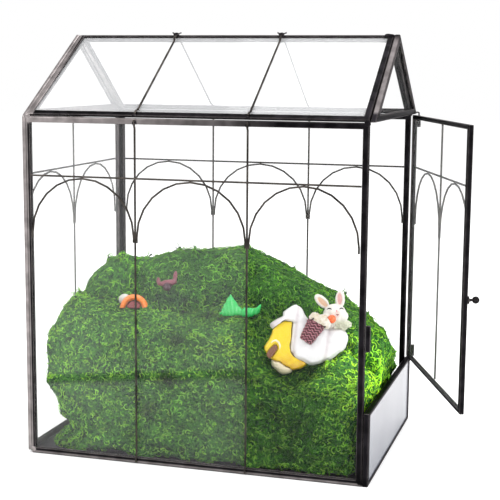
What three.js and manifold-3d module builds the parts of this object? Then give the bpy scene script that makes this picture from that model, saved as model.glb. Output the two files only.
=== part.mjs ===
// A house-shaped glass plant terrarium: soldered metal strips hold clear panes, thin wires draw
// window bars and arches, the right end is a door that stands ajar, and moss fills the lower half.
// Millimetres, +X to the right, +Y to the back, +Z up, origin at the centre of the underside.

import * as THREE from 'three';
import { MeshSurfaceSampler } from 'three/addons/math/MeshSurfaceSampler.js';
import { mergeVertices } from 'three/addons/utils/BufferGeometryUtils.js';
import Module from 'manifold-3d';

// ---- driving dimensions -------------------------------------------------------------------

const WIDTH = 250; // front and back panels, edge to edge
const DEPTH = 177.3; // outer face of the front panel to outer face of the back panel
const EAVE = 249.7; // height of the four upright walls
const RIDGE = 309.7; // height of the roof ridge
const GAP = 0.3; // air between neighbouring pieces

const CAME = 4.2; // face width and thickness of most of the U-shaped metal strips
const SLIM = 3; // thickness of the left end's strips, and face width of the post beside them
const LOW_FACE = 2; // face width of the low panel's rails
const RIDGE_FACE = 1.4; // face width of the strips at the ridge
const DOOR_THICKNESS = 3.5;
const LEFT_FOOT = 2; // the left end's lower edge stands this far above the ground
const CAME_ROUND = 0.7; // rounding of the strip's two outer edges
const SLOT_DEPTH = 2.4; // how far the pane reaches into the strip
const LEAST_WEB = 0.7; // metal left between the slot and the strip's outer edge
const SLOT_WIDTH = 2.2;
const GLASS = 1.6;

const WIRE = 0.75; // radius of the decorative wire
const WIRE_SIDES = 6;
const WIRE_OVER = -(WIRE + GAP); // wire centre where it crosses a strip
const WIRE_RISE = 2.4; // length over which a wire rises to cross a strip
const WIRE_START = 1; // from a strip's outer edge to the end of the wire over it
const THIRD = 41.2; // uprights stand this far each side of the middle
const RAIL_Z = 207.5;
const ARCH_SPRING_Z = 166; // where an arch starts to curve
const ARCH_FOOT_Z = 162;
const ARCH_STEPS = 12;

const LOW_PANEL = 52; // height of the fixed panel under the door
const DOOR_BOTTOM = LOW_PANEL + 0.8;
const DOOR_TOP = EAVE - 0.6;
const DOOR_WIDTH = 171;
const DOOR_OPEN_DEG = 21.3; // how far the door stands open
const PIN_RADIUS = 0.6;
const KNUCKLE_RADIUS = 1.5;
const KNUCKLE_BORE = 0.95;
const KNUCKLE_LENGTH = 9;
const HINGE = new THREE.Vector2(WIDTH / 2 + CAME + GAP + KNUCKLE_RADIUS, DEPTH / 2 - 0.6);
const KNOB_Z = 131.5;

const PLATE = 1.2; // thickness of the floor plate
const ROOF_LIFT = 2.1; // the roof's lower edge stands this far above the wall
const GABLE_LEAN = 3.4; // how far the left gable's peak leans in

const SEED = 20417;

// ---- colours and materials ------------------------------------------------------------------

const finish = (color, roughness, metalness = 0, extra = {}) =>
  new THREE.MeshStandardMaterial({ color, roughness, metalness, ...extra });

const MATERIALS = {
  came: finish('#2b282a', 0.38, 0.8),
  wire: finish('#1f1e20', 0.42, 0.8),
  plate: finish('#3c3a3c', 0.5, 0.7),
  glass: finish('#eef4f2', 0.05, 0, { transparent: true, opacity: 0.3 }),
  mossFront: finish('#4f8f2c', 0.95),
  mossBack: finish('#3f7d22', 0.95),
  whiteResin: finish('#f1efe9', 0.3),
  yellowResin: finish('#e8bf2c', 0.35),
  creamResin: finish('#ded2b4', 0.4),
  brownResin: finish('#5a3a34', 0.5),
  basketRed: finish('#6b1f33', 0.5),
  orangeResin: finish('#f2631c', 0.35),
  maroonResin: finish('#84505f', 0.5),
  greenPlastic: finish('#2fae4c', 0.2),
  pinkResin: finish('#b76a80', 0.4),
};

// ---- solids ---------------------------------------------------------------------------------

const wasm = await Module();
wasm.setup();

/** Turn a closed three.js geometry into a solid that can be joined and cut. */
function toSolid(geometry) {
  const bare = geometry.clone();
  bare.deleteAttribute('normal');
  if (bare.attributes.uv) bare.deleteAttribute('uv');
  const merged = mergeVertices(bare, 1e-5);
  return new wasm.Manifold(
    new wasm.Mesh({
      numProp: 3,
      vertProperties: new Float32Array(merged.attributes.position.array),
      triVerts: new Uint32Array(merged.index.array),
    }),
  );
}

/** Turn a solid back into a three.js geometry. */
function toGeometry(solid) {
  const mesh = solid.getMesh();
  const geometry = new THREE.BufferGeometry();
  geometry.setAttribute('position', new THREE.BufferAttribute(mesh.vertProperties, 3));
  geometry.setIndex(new THREE.BufferAttribute(mesh.triVerts, 1));
  geometry.computeVertexNormals();
  return geometry;
}

/** Join a list of solids into one. */
const join = (solids) => solids.reduce((sum, solid) => sum.add(solid));

/** Keep the largest body of a solid and drop loose scraps. */
function largestBody(solid) {
  const bodies = solid.decompose();
  return bodies.reduce((best, body) => (body.volume() > best.volume() ? body : best));
}

/** Six times the volume inside closed triangles, negative where the faces point inward. */
function signedVolume(points, triangles) {
  return triangles.reduce((sum, [i, j, k]) => {
    const [a, b, c] = [points[i], points[j], points[k]];
    return (
      sum +
      a[0] * (b[1] * c[2] - b[2] * c[1]) +
      a[1] * (b[2] * c[0] - b[0] * c[2]) +
      a[2] * (b[0] * c[1] - b[1] * c[0])
    );
  }, 0);
}

/** Geometry from points and triangles of a closed body, its faces turned to point out. */
function meshOf(points, triangles) {
  const facing = signedVolume(points, triangles) < 0 ? triangles.map(([a, b, c]) => [a, c, b]) : triangles;
  const geometry = new THREE.BufferGeometry();
  geometry.setAttribute('position', new THREE.Float32BufferAttribute(points.flat(), 3));
  geometry.setIndex(facing.flat());
  geometry.computeVertexNormals();
  return geometry;
}

/**
 * Closed solid through rings of points. Every ring turns the same way round and has the same
 * count. The ends are closed with a fan, or the last ring joins the first when closed is true.
 */
function loft(rings, closed = false) {
  const count = rings[0].length;
  const points = rings.flat();
  const triangles = [];
  const spans = closed ? rings.length : rings.length - 1;
  for (let r = 0; r < spans; r += 1) {
    const next = (r + 1) % rings.length;
    for (let i = 0; i < count; i += 1) {
      const j = (i + 1) % count;
      const [a, b, c, d] = [r * count + i, r * count + j, next * count + j, next * count + i];
      triangles.push([a, b, c], [a, c, d]);
    }
  }
  if (!closed) {
    const last = (rings.length - 1) * count;
    for (let i = 1; i < count - 1; i += 1) {
      triangles.push([0, i + 1, i], [last, last + i, last + i + 1]);
    }
  }
  return meshOf(points, triangles);
}

/** Round wire through a list of points, its ends square to its run. */
function wireThrough(points, radius = WIRE, sides = WIRE_SIDES) {
  const up = new THREE.Vector3(0, 1, 0);
  const rings = points.map((point, index) => {
    const before = points[Math.max(index - 1, 0)];
    const after = points[Math.min(index + 1, points.length - 1)];
    const run = after.clone().sub(before).normalize();
    const side = new THREE.Vector3().crossVectors(up, run).normalize();
    const other = new THREE.Vector3().crossVectors(run, side);
    return Array.from({ length: sides }, (_, k) => {
      const angle = (2 * Math.PI * (k + 0.5)) / sides;
      return point
        .clone()
        .addScaledVector(side, radius * Math.cos(angle))
        .addScaledVector(other, radius * Math.sin(angle))
        .toArray();
    });
  });
  return loft(rings);
}

/** Ellipsoid with its own centre, half-sizes and turn, few enough sides to stay light. */
function lump({ at, size, turn = [0, 0, 0], sides = 8, grow = 0 }) {
  const ball = new THREE.SphereGeometry(1, sides, Math.round(sides * 0.7));
  ball.rotateX(Math.PI / 2);
  ball.scale(size[0] + grow, size[1] + grow, size[2] + grow);
  const turned = new THREE.Euler(...turn.map(THREE.MathUtils.degToRad));
  ball.applyMatrix4(new THREE.Matrix4().makeRotationFromEuler(turned));
  ball.translate(...at);
  return toSolid(ball);
}

/** Small repeatable random source. */
function randomSource(seed) {
  let state = seed;
  return () => {
    state = (state + 0x6d2b79f5) | 0;
    let mixed = Math.imul(state ^ (state >>> 15), 1 | state);
    mixed = (mixed + Math.imul(mixed ^ (mixed >>> 7), 61 | mixed)) ^ mixed;
    return ((mixed ^ (mixed >>> 14)) >>> 0) / 4294967296;
  };
}

const random = randomSource(SEED);
const between = (low, high) => low + (high - low) * random();

// ---- the group ------------------------------------------------------------------------------

const terrarium = new THREE.Group();
terrarium.name = 'terrarium';

/** Name a mesh and hang it in a group. */
function place(name, geometry, material, group = terrarium) {
  const mesh = new THREE.Mesh(geometry, material);
  mesh.name = name;
  group.add(mesh);
  return mesh;
}

/** A panel's own frame: +X right and +Z up as seen from outside, +Y inward from the outer face. */
function panelGroup(x, y, z, turnDeg) {
  const group = new THREE.Group();
  group.position.set(x, y, z);
  group.rotation.z = THREE.MathUtils.degToRad(turnDeg);
  terrarium.add(group);
  return group;
}

// ---- panels: strip frame and pane -------------------------------------------------------------

/** Strips of a panel: the face width of each side, their thickness and their outer lip. */
const strips = (faces = EVEN_FACES, thickness = CAME, lip = (thickness - SLOT_WIDTH) / 2) => ({
  faces,
  thickness,
  lip,
});
const EVEN_FACES = [CAME, CAME, CAME, CAME];
const FRONT_FACES = [CAME, CAME, CAME, SLIM];
const DOOR_FACES = [2.2, 3, 3, 4]; // bottom, hinge side, top, free side
const LOW_FACES = [LOW_FACE, CAME, LOW_FACE, CAME];
const LOW_LIP = 0.5;

/** How far a strip's slot reaches out behind its inner edge. */
const slotReach = (face) => Math.min(SLOT_DEPTH, face - LEAST_WEB);

/** Section of a U-shaped strip: [distance in from the outline, depth from the outer face]. */
function cameSection(face, { thickness, lip }) {
  const soft = CAME_ROUND * 0.3;
  const web = face - slotReach(face);
  const back = lip + SLOT_WIDTH;
  return [
    [CAME_ROUND, 0],
    [face, 0],
    [face, lip],
    [web, lip],
    [web, back],
    [face, back],
    [face, thickness],
    [CAME_ROUND, thickness],
    [soft, thickness - soft],
    [0, thickness - CAME_ROUND],
    [0, CAME_ROUND],
    [soft, soft],
  ];
}

/** Direction inward from each side of an outline given counter-clockwise as [x, z]. */
const inwardNormals = (outline) =>
  outline.map(([x, z], i) => {
    const [nx, nz] = outline[(i + 1) % outline.length];
    const length = Math.hypot(nx - x, nz - z);
    return [-(nz - z) / length, (nx - x) / length];
  });

/** Corner of an outline, moved in by one distance from the side before it and another after it. */
function cornerInside(outline, i, before, after) {
  const normals = inwardNormals(outline);
  const [ax, az] = normals[(i + outline.length - 1) % outline.length];
  const [bx, bz] = normals[i];
  const alike = ax * bx + az * bz;
  const a = (before - after * alike) / (1 - alike * alike);
  const b = (after - before * alike) / (1 - alike * alike);
  return [outline[i][0] + a * ax + b * bx, outline[i][1] + a * az + b * bz];
}

/** Corner directions that carry an outline inward: one step along each moves every side by one. */
function mitres(outline) {
  const normals = inwardNormals(outline);
  return outline.map((_, i) => {
    const [ax, az] = normals[(i + outline.length - 1) % outline.length];
    const [bx, bz] = normals[i];
    const share = 1 + ax * bx + az * bz;
    return [(ax + bx) / share, (az + bz) / share];
  });
}

/** Strip ring round an outline given counter-clockwise as [x, z], with mitred corners. */
function cameRing(outline, strip, trim = (x, z) => [x, z]) {
  const sections = outline.map((_, i) => cameSection(strip.faces[i], strip));
  const rings = outline.map((_, i) => {
    const before = sections[(i + outline.length - 1) % outline.length];
    return sections[i].map(([inset, depth], k) => {
      const [px, pz] = trim(...cornerInside(outline, i, before[k][0], inset), depth);
      return [px, depth, pz];
    });
  });
  return loft(rings, true);
}

/** Pane inside the same outline, seated in the strip's slot. */
function pane(outline, { faces, lip }) {
  const front = lip + (SLOT_WIDTH - GLASS) / 2;
  const insets = outline.map((_, i) => faces[i] - slotReach(faces[i]) + GAP);
  const corners = outline.map((_, i) =>
    cornerInside(outline, i, insets[(i + outline.length - 1) % outline.length], insets[i]),
  );
  return loft([
    corners.map(([x, z]) => [x, front + GLASS, z]),
    corners.map(([x, z]) => [x, front, z]),
  ]);
}

const rectangle = (width, height, bottom = 0) => [
  [-width / 2, bottom],
  [width / 2, bottom],
  [width / 2, bottom + height],
  [-width / 2, bottom + height],
];

/** Frame and pane of one panel. The pane's outline differs only where the strip is sheared. */
function addPanel(name, outline, group, strip = strips(), trim = undefined, paneOutline = outline) {
  place(`${name}_frame`, cameRing(outline, strip, trim), MATERIALS.came, group);
  place(`${name}_glass`, pane(paneOutline, strip), MATERIALS.glass, group);
}

// ---- wirework on a wall ---------------------------------------------------------------------

/** Wire centre at the pane: the wire keeps the usual gap from the glass. */
const againstGlass = ({ lip }) => (x, z) => new THREE.Vector3(x, lip - WIRE, z);
const overStrip = (x, z) => new THREE.Vector3(x, WIRE_OVER, z);

/** Arch from one foot up and over to the next, its feet soldered along the uprights. */
function archPoints(at, left, right) {
  const middle = (left + right) / 2;
  const half = (right - left) / 2;
  const rise = RAIL_Z - 1.3 - ARCH_SPRING_Z;
  const curve = Array.from({ length: ARCH_STEPS + 1 }, (_, i) => {
    const angle = Math.PI * (1 - i / ARCH_STEPS);
    return at(middle + half * Math.cos(angle), ARCH_SPRING_Z + rise * Math.sin(angle));
  });
  return [at(left, ARCH_FOOT_Z), ...curve, at(right, ARCH_FOOT_Z)];
}

/** Wire that lies over two strips and, between them, sinks to the glass. */
const crossingPoints = (at, x, [start, low, high, end]) => [
  overStrip(x, start),
  overStrip(x, low),
  at(x, low + WIRE_RISE),
  at(x, high - WIRE_RISE),
  overStrip(x, high),
  overStrip(x, end),
];

/** Uprights, rail and arches of one wall, soldered where they meet. */
function latticeSolid({ width, bottom, top, uprights, strip = strips(), crossing = false }) {
  const overlap = 1.2; // arch foot beside its upright
  const at = againstGlass(strip);
  const [lowFace, rightFace, highFace, leftFace] = strip.faces;
  const left = -width / 2 + leftFace + GAP;
  const right = width / 2 - rightFace - GAP;
  const low = bottom + lowFace + GAP;
  const high = top - highFace - GAP;
  const stations = [left + WIRE - overlap, ...uprights, right - WIRE + overlap];
  const heights = [bottom + WIRE_START, low, high, top - WIRE_START];
  const wires = uprights.map((x) => (crossing ? crossingPoints(at, x, heights) : [at(x, low), at(x, high)]));
  wires.push([at(left, RAIL_Z), at(right, RAIL_Z)]);
  for (let i = 0; i + 1 < stations.length; i += 1) {
    wires.push(archPoints(at, stations[i] + overlap, stations[i + 1] - overlap));
  }
  return join(wires.map((points) => toSolid(wireThrough(points))));
}

function addLattice(name, wall, group) {
  place(`${name}_lattice`, toGeometry(latticeSolid(wall)), MATERIALS.wire, group);
}

// ---- walls ----------------------------------------------------------------------------------

const halfDepth = DEPTH / 2;
const sideFace = WIDTH / 2 + CAME; // outer face of the right end's panels
const leftFace = WIDTH / 2 + SLIM; // outer face of the left end's
const sideWidth = DEPTH - 2 * GAP;

function addWalls() {
  const front = panelGroup(0, -halfDepth, 0, 0);
  const back = panelGroup(0, halfDepth, 0, 180);
  const left = panelGroup(-leftFace, 0, 0, -90);
  const right = panelGroup(sideFace, 0, 0, 90);
  const longWall = { width: WIDTH - GAP, bottom: 0, top: EAVE, uprights: [-THIRD, THIRD] };
  const longOutline = rectangle(longWall.width, EAVE);
  const frontStrip = strips(FRONT_FACES);
  addPanel('front', longOutline, front, frontStrip);
  addLattice('front', { ...longWall, strip: frontStrip, crossing: true }, front);
  addPanel('back', longOutline, back);
  addLattice('back', longWall, back);
  const slim = strips(EVEN_FACES, SLIM);
  const leftWall = { width: sideWidth, bottom: LEFT_FOOT, top: EAVE, uprights: [0], strip: slim };
  addPanel('left', rectangle(sideWidth, EAVE - LEFT_FOOT, LEFT_FOOT), left, slim);
  addLattice('left', leftWall, left);
  addPanel('low', rectangle(sideWidth, LOW_PANEL), right, strips(LOW_FACES, CAME, LOW_LIP));
}

/** Sheet-metal floor between the walls, reaching out under the left end's strips. */
function addPlate() {
  const inside = new THREE.Vector2(WIDTH - 2 * GAP, DEPTH - 2 * CAME - 2 * GAP);
  const plate = new THREE.BoxGeometry(inside.x + SLIM, inside.y, PLATE);
  const mesh = place('base_plate', plate, MATERIALS.plate);
  mesh.position.set(-SLIM / 2, 0, PLATE / 2);
}

// ---- gables and roof -------------------------------------------------------------------------

const gableBase = EAVE + GAP;
const roofStart = new THREE.Vector2(-halfDepth + GAP, EAVE + ROOF_LIFT); // y, z of the lower edge
const roofSlope = Math.atan2(RIDGE - roofStart.y, -roofStart.x);
const roofLength = Math.hypot(RIDGE - roofStart.y, roofStart.x);

function addGables() {
  const outline = [
    [-sideWidth / 2, 0],
    [sideWidth / 2, 0],
    [0, RIDGE - gableBase],
  ];
  const left = panelGroup(-leftFace, 0, gableBase, -90);
  const leaning = new THREE.Group();
  leaning.rotation.x = -Math.atan2(GABLE_LEAN, RIDGE - gableBase);
  left.add(leaning);
  addPanel('gable_left', outline, leaning, strips(EVEN_FACES, SLIM));
  addPanel('gable_right', outline, panelGroup(sideFace, 0, gableBase, 90));
}

/** Outline of a slope. Its end at the left gable draws in with the gable's lean. */
function slopeOutline(low, high, isFront) {
  const half = (WIDTH - GAP) / 2;
  const drawnIn = (z) => GABLE_LEAN * (z / roofLength) + GAP;
  const [leftEnd, rightEnd] = isFront ? [drawnIn, () => 0] : [() => 0, drawnIn];
  return [
    [-half + leftEnd(low), low],
    [half - rightEnd(low), low],
    [half - rightEnd(high), high],
    [-half + leftEnd(high), high],
  ];
}

/** How far a slope's lower edge draws in over the wall, and its upper edge at the ridge. */
function roofShear(depth) {
  const rise = Math.sin(roofSlope);
  const run = Math.cos(roofSlope);
  const clearOfWall = (gableBase - roofStart.y + depth * run) / rise;
  const clearOfRidge = (-GAP / 2 - roofStart.x - depth * rise) / run;
  return { low: Math.max(clearOfWall, 0), high: Math.max(roofLength - clearOfRidge, 0) };
}

/** Shear the lower strip clear of the wall and the upper one to a mitre at the ridge. */
function shearRoof(x, z, depth) {
  const { low, high } = roofShear(depth);
  return [x, z < roofLength / 2 ? z + low : z - high];
}

/** One slope with its two wires, as a turned group. */
function addSlope(name, isFront) {
  const slope = panelGroup(0, 0, 0, isFront ? 0 : 180);
  const tilted = new THREE.Group();
  tilted.position.set(0, roofStart.x, roofStart.y);
  tilted.rotation.x = roofSlope - Math.PI / 2;
  slope.add(tilted);
  const drawn = roofShear((CAME + GLASS) / 2);
  const outline = slopeOutline(0, roofLength, isFront);
  const paneOutline = slopeOutline(drawn.low, roofLength - drawn.high, isFront);
  const strip = strips([CAME, CAME, RIDGE_FACE, CAME]);
  addPanel(`roof_${name}`, outline, tilted, strip, shearRoof, paneOutline);
  const knotFoot = roofLength - KNOT_DROP - KNOT_SIZE[2] - GAP;
  const rise = knotFoot - WIRE_RISE; // the wire lies over the upper strip from here
  const end = isFront ? knotFoot : roofLength - 1.3;
  const sides = isFront ? ['left', 'right'] : ['right', 'left'];
  [-THIRD, THIRD].forEach((x, i) => {
    const points = crossingPoints(againstGlass(strip), x, [WIRE_START, CAME + GAP, rise, end]);
    const wire = wireThrough(points);
    place(`roof_wire_${name}_${sides[i]}`, wire, MATERIALS.wire, tilted);
  });
  if (isFront) addKnots(tilted);
}

// Half-sizes of the bead of a knot, and how far its middle lies below the ridge along the slope.
const KNOT_SIZE = [2.3, 1.1, 1.8];
const KNOT_DROP = 1.9;

/** Soldered knots at the tops of the front wires: a bead with two short wire ends beside it. */
function addKnots(slope) {
  const depth = -(KNOT_SIZE[1] + GAP);
  const ends = [-1, 1].map((side) => {
    const run = [
      new THREE.Vector3(0, 0, 0),
      new THREE.Vector3(side * 2.1, 0, 1.1),
      new THREE.Vector3(side * 3.4, 0, 2.2),
    ];
    return toSolid(wireThrough(run, 0.55));
  });
  const bead = lump({ at: [0, 0, 0], size: KNOT_SIZE, sides: 10 });
  const geometry = toGeometry(join([bead, ...ends]));
  for (const [name, x] of [['ridge_knot_left', -THIRD], ['ridge_knot_right', THIRD]]) {
    place(name, geometry, MATERIALS.wire, slope).position.set(x, depth, roofLength - KNOT_DROP);
  }
}

// ---- door -----------------------------------------------------------------------------------

/** Octagonal or rounder bar or tube along Z, from a closed profile. */
function turned(profile, sides) {
  const points = profile.map(([radius, z]) => new THREE.Vector2(radius, z));
  const geometry = new THREE.LatheGeometry(points, sides);
  geometry.rotateX(Math.PI / 2);
  return geometry;
}

/** Tube section: up the outside and back down the bore. */
const tubeProfile = (outer, bore, low, high) => [
  [outer, low],
  [outer, high],
  [bore, high],
  [bore, low],
  [outer, low],
];

const doorHeight = DOOR_TOP - DOOR_BOTTOM;
const doorBackY = DEPTH / 2 - GAP; // back edge of the shut door

/** The door's group turns about the hinge; inside it the shut door's own panel frame. */
function doorGroups() {
  const hinge = new THREE.Group();
  hinge.position.set(HINGE.x, HINGE.y, 0);
  hinge.rotation.z = THREE.MathUtils.degToRad(DOOR_OPEN_DEG);
  terrarium.add(hinge);
  const panel = new THREE.Group();
  panel.rotation.z = Math.PI / 2;
  panel.position.set(sideFace - HINGE.x, doorBackY - DOOR_WIDTH / 2 - HINGE.y, 0);
  hinge.add(panel);
  return { hinge, panel };
}

/** Turned knob: foot plate, thin neck and a round end, pointing out of the door. */
function knobGeometry() {
  const ball = 2.6;
  const reach = 8.4;
  const profile = [
    [0, 0],
    [2.7, 0],
    [2.7, 0.9],
    [1.1, 1.5],
    [0.95, 3.2],
  ];
  const start = Math.asin(0.95 / ball);
  for (let i = 0; i <= 6; i += 1) {
    const angle = start + ((Math.PI - start) * i) / 6;
    profile.push([Math.max(ball * Math.sin(angle), 0), reach - ball - ball * Math.cos(angle)]);
  }
  return turned(profile, 12);
}

function addDoor() {
  const { hinge, panel } = doorGroups();
  const strip = strips(DOOR_FACES, DOOR_THICKNESS);
  addPanel('door', rectangle(DOOR_WIDTH, doorHeight, DOOR_BOTTOM), panel, strip);
  const lattice = { width: DOOR_WIDTH, bottom: DOOR_BOTTOM, top: DOOR_TOP, uprights: [0], strip };
  addLattice('door', lattice, panel);
  const knob = place('door_knob', knobGeometry(), MATERIALS.wire, panel);
  knob.rotation.x = Math.PI / 2;
  knob.position.set(-DOOR_WIDTH / 2 + CAME / 2 + 0.9, -GAP, KNOB_Z);
  for (const [name, low] of [
    ['door_knuckle_bottom', DOOR_BOTTOM + 0.4],
    ['door_knuckle_top', DOOR_TOP - KNUCKLE_LENGTH - 0.4],
  ]) {
    const tube = turned(tubeProfile(KNUCKLE_RADIUS, KNUCKLE_BORE, low, low + KNUCKLE_LENGTH), 12);
    place(name, tube, MATERIALS.came, hinge);
  }
}

/** Fixed pin: a wire soldered to the strip below or above the door, bent into the knuckle. */
function pinPoints(foot, tip) {
  const rise = Math.sign(tip - foot);
  const soldered = sideFace + GAP + PIN_RADIUS;
  return [
    new THREE.Vector3(soldered, HINGE.y - 11, foot),
    new THREE.Vector3(soldered, HINGE.y - 4, foot),
    new THREE.Vector3(HINGE.x, HINGE.y - 0.6, foot + rise * 0.6),
    new THREE.Vector3(HINGE.x, HINGE.y, foot + rise * 2.2),
    new THREE.Vector3(HINGE.x, HINGE.y, tip),
  ];
}

/** Wire for a pin. Its run turns from level to upright in the YZ plane. */
function pinGeometry(points) {
  const side = new THREE.Vector3(1, 0, 0);
  const rings = points.map((point, index) => {
    const before = points[Math.max(index - 1, 0)];
    const after = points[Math.min(index + 1, points.length - 1)];
    const run = after.clone().sub(before).normalize();
    const other = new THREE.Vector3().crossVectors(run, side);
    return Array.from({ length: 8 }, (_, k) => {
      const angle = (2 * Math.PI * k) / 8;
      return point
        .clone()
        .addScaledVector(side, PIN_RADIUS * Math.cos(angle))
        .addScaledVector(other, PIN_RADIUS * Math.sin(angle))
        .toArray();
    });
  });
  return loft(rings);
}

function addHingePins() {
  const reach = 6;
  const low = pinPoints(LOW_PANEL - LOW_FACE / 2, DOOR_BOTTOM + reach);
  const high = pinPoints(gableBase + 1.5, DOOR_TOP - reach);
  place('hinge_pin_bottom', pinGeometry(low), MATERIALS.wire);
  place('hinge_pin_top', pinGeometry(high), MATERIALS.wire);
}

/** Small plate on the front right post, clear of the shut door. */
function addCatch() {
  const size = new THREE.Vector3(3.4, 1, 18.3);
  const mesh = place('door_catch', new THREE.BoxGeometry(size.x, size.y, size.z), MATERIALS.came);
  mesh.position.set(WIDTH / 2 + GAP + size.x / 2, -halfDepth + GAP + size.y / 2, 104.2);
}

// ---- resin ornament: a rabbit on a snow-roofed toy house ---------------------------------------

const ORNAMENT_AT = new THREE.Vector3(75.2, -46, 94.6);
const FACING = [-12.5, 0, 13.6]; // degrees: it leans back and looks out at the front right corner

// Outlines as seen from the ornament's face, [x, z], for the pieces that are modelled in relief.
const OUTLINES = {
  roof: [
    [-9.4, 13], [-5.1, 17.4], [-2.2, 13], [2.2, 10.2], [8.7, 6.2], [15.9, 5.4], [24.6, 4.7],
    [27.2, 2.9], [29, 0], [29, -3.6], [27.6, -8], [25.4, -11.2], [22.8, -12.3], [20.3, -14.9],
    [16.7, -17.8], [13, -19.2], [8.7, -20.7], [4.3, -21.8], [0.7, -21.8], [-2.9, -19.6],
    [-7.2, -18.1], [-10.9, -15.9], [-13, -13], [-13.4, -8.7], [-12.7, -3.6], [-12, 2.2],
    [-11.6, 8],
  ],
  awning: [
    [-27.7, 6], [-27.3, 8], [-25.2, 9.6], [-22, 11.6], [-18.6, 13.2], [-18.3, 16.4], [-15.7, 18.7],
    [-11.7, 21], [-8.4, 22.2], [-6, 21.2], [-4.2, 18.6], [-2.4, 14.4], [0.2, 11], [-2.2, 7.5],
    [-7.2, 6.5], [-12, 9.6], [-17.4, 9.8], [-22.5, 7.4], [-25.6, 3.8],
  ],
  wall: [
    [-25.4, 4.4], [-22.3, 8], [-17.5, 10.1], [-11.6, 10.7], [-10.9, 0], [-11.6, -10.9],
    [-5.6, -16.6], [-0.4, -21], [-2.2, -23], [-6.2, -24.6], [-11.6, -25.7], [-17.5, -23.2],
    [-22.3, -20.2], [-26.5, -17.7], [-29.1, -14.5], [-31.2, -11.3], [-31.6, -8.8], [-28.8, -4.9],
    [-25.9, 0.7],
  ],
  base: [
    [-26.6, -18.3], [-20.3, -18.8], [-15.9, -22.1], [-10.9, -24.6], [-10.9, -26.8], [-14.5, -28.5],
    [-18.1, -28.9], [-22.1, -26.3], [-25.9, -22.5],
  ],
  door: [
    [-30.2, -14.9], [-28.3, -11.6], [-25.4, -8.3], [-23.2, -6.7], [-21.6, -9.1], [-22.5, -12],
    [-24.6, -14.9], [-27.3, -17.8],
  ],
  tallLeaf: [
    [-15.3, -1.1], [-12.6, 4.8], [-9.6, 10.7], [-7.4, 13.9], [-5.2, 11.5], [-1.9, 6.3], [2.6, 1.9],
    [1.5, -1.5], [-5.2, -2.4], [-11.9, -2.6],
  ],
  cupLeaf: [
    [0, 1.9], [3.7, 4.4], [8.9, 4.1], [12.6, 4.2], [14.3, 6.7], [15.4, 7.3], [15.8, 3.3],
    [13.9, -1], [8.9, -3.7], [4.4, -3.4], [0.7, -1.9],
  ],
};

// How a relief swells: [share of the outline, share of its depth], from front to back.
const DOMED = [[0.45, -0.94], [0.76, -0.74], [0.94, -0.4], [1, 0], [0.95, 0.55], [0.72, 1]];
const SLAB = [[0.8, -1], [0.95, -0.82], [1, -0.4], [1, 0.6], [0.85, 1]];
const PILLOW = [[0.56, -0.98], [0.84, -0.88], [0.97, -0.6], [1, -0.2], [0.97, 0.5], [0.75, 1]];

// Ornament pieces in their own frame: +X right, +Z up, +Y away from the face, millimetres.
const ORNAMENT = {
  toy_house_wall: {
    material: MATERIALS.yellowResin,
    reliefs: [
      { outline: OUTLINES.wall, middle: [-18, -9], y: 0, front: 5.6, back: 10, rows: SLAB },
    ],
  },
  toy_house_door: {
    material: MATERIALS.brownResin,
    reliefs: [
      { outline: OUTLINES.door, middle: [-25.8, -12.3], y: -6, front: 0.8, back: 1.4, rows: SLAB },
    ],
  },
  toy_house_base: {
    material: MATERIALS.creamResin,
    reliefs: [
      { outline: OUTLINES.base, middle: [-18.5, -23.2], y: 0, front: 6.6, back: 9, rows: DOMED },
    ],
  },
  toy_house_roof: {
    material: MATERIALS.whiteResin,
    reliefs: [
      { outline: OUTLINES.roof, middle: [6, -6], y: 2, front: 10.5, back: 9, rows: PILLOW },
      { outline: OUTLINES.awning, middle: [-10.4, 14], y: 1, front: 9.6, back: 9, rows: PILLOW },
    ],
  },
  toy_basket: {
    material: MATERIALS.basketRed,
    cup: { at: [2.3, -9.6, 2.4], radius: [4.4, 6.5], height: 15.4, turn: [4, 31, 0], ribs: 12 },
  },
  toy_rabbit: {
    material: MATERIALS.whiteResin,
    lumps: [
      { at: [19.1, -2, 15.3], size: [8.7, 7.6, 7.7], sides: 10 },
      { at: [13.9, -4.6, 13.2], size: [4.4, 4, 3.8] },
      { at: [24.4, -4.2, 14], size: [4.6, 4, 4.2] },
      { at: [20.4, 1.6, 7], size: [9, 6.6, 5] },
      { at: [27, -2.6, 8.4], size: [4.6, 3.2, 3.2], turn: [0, 14, 0] },
      { at: [4.6, -13.4, 12.7], size: [3.8, 3.8, 3.5] },
      { at: [8.8, -13.6, 10.8], size: [4.6, 4, 4.2] },
      { at: [12.6, -12.6, 8.4], size: [3.6, 3.6, 4] },
      { at: [12, -7.8, 10.6], size: [4.8, 4.6, 4.4] },
      { at: [9.7, 0.6, 24.4], size: [7.2, 2.3, 3.7], turn: [0, 43, 0] },
      { at: [22.8, 0.6, 26], size: [3.8, 2.3, 6.9], turn: [0, 2, 0] },
    ],
  },
  toy_carrot: {
    material: MATERIALS.orangeResin,
    lumps: [{ at: [16.9, -10.6, 11.7], size: [3.2, 2.8, 3.2] }],
  },
};

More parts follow.
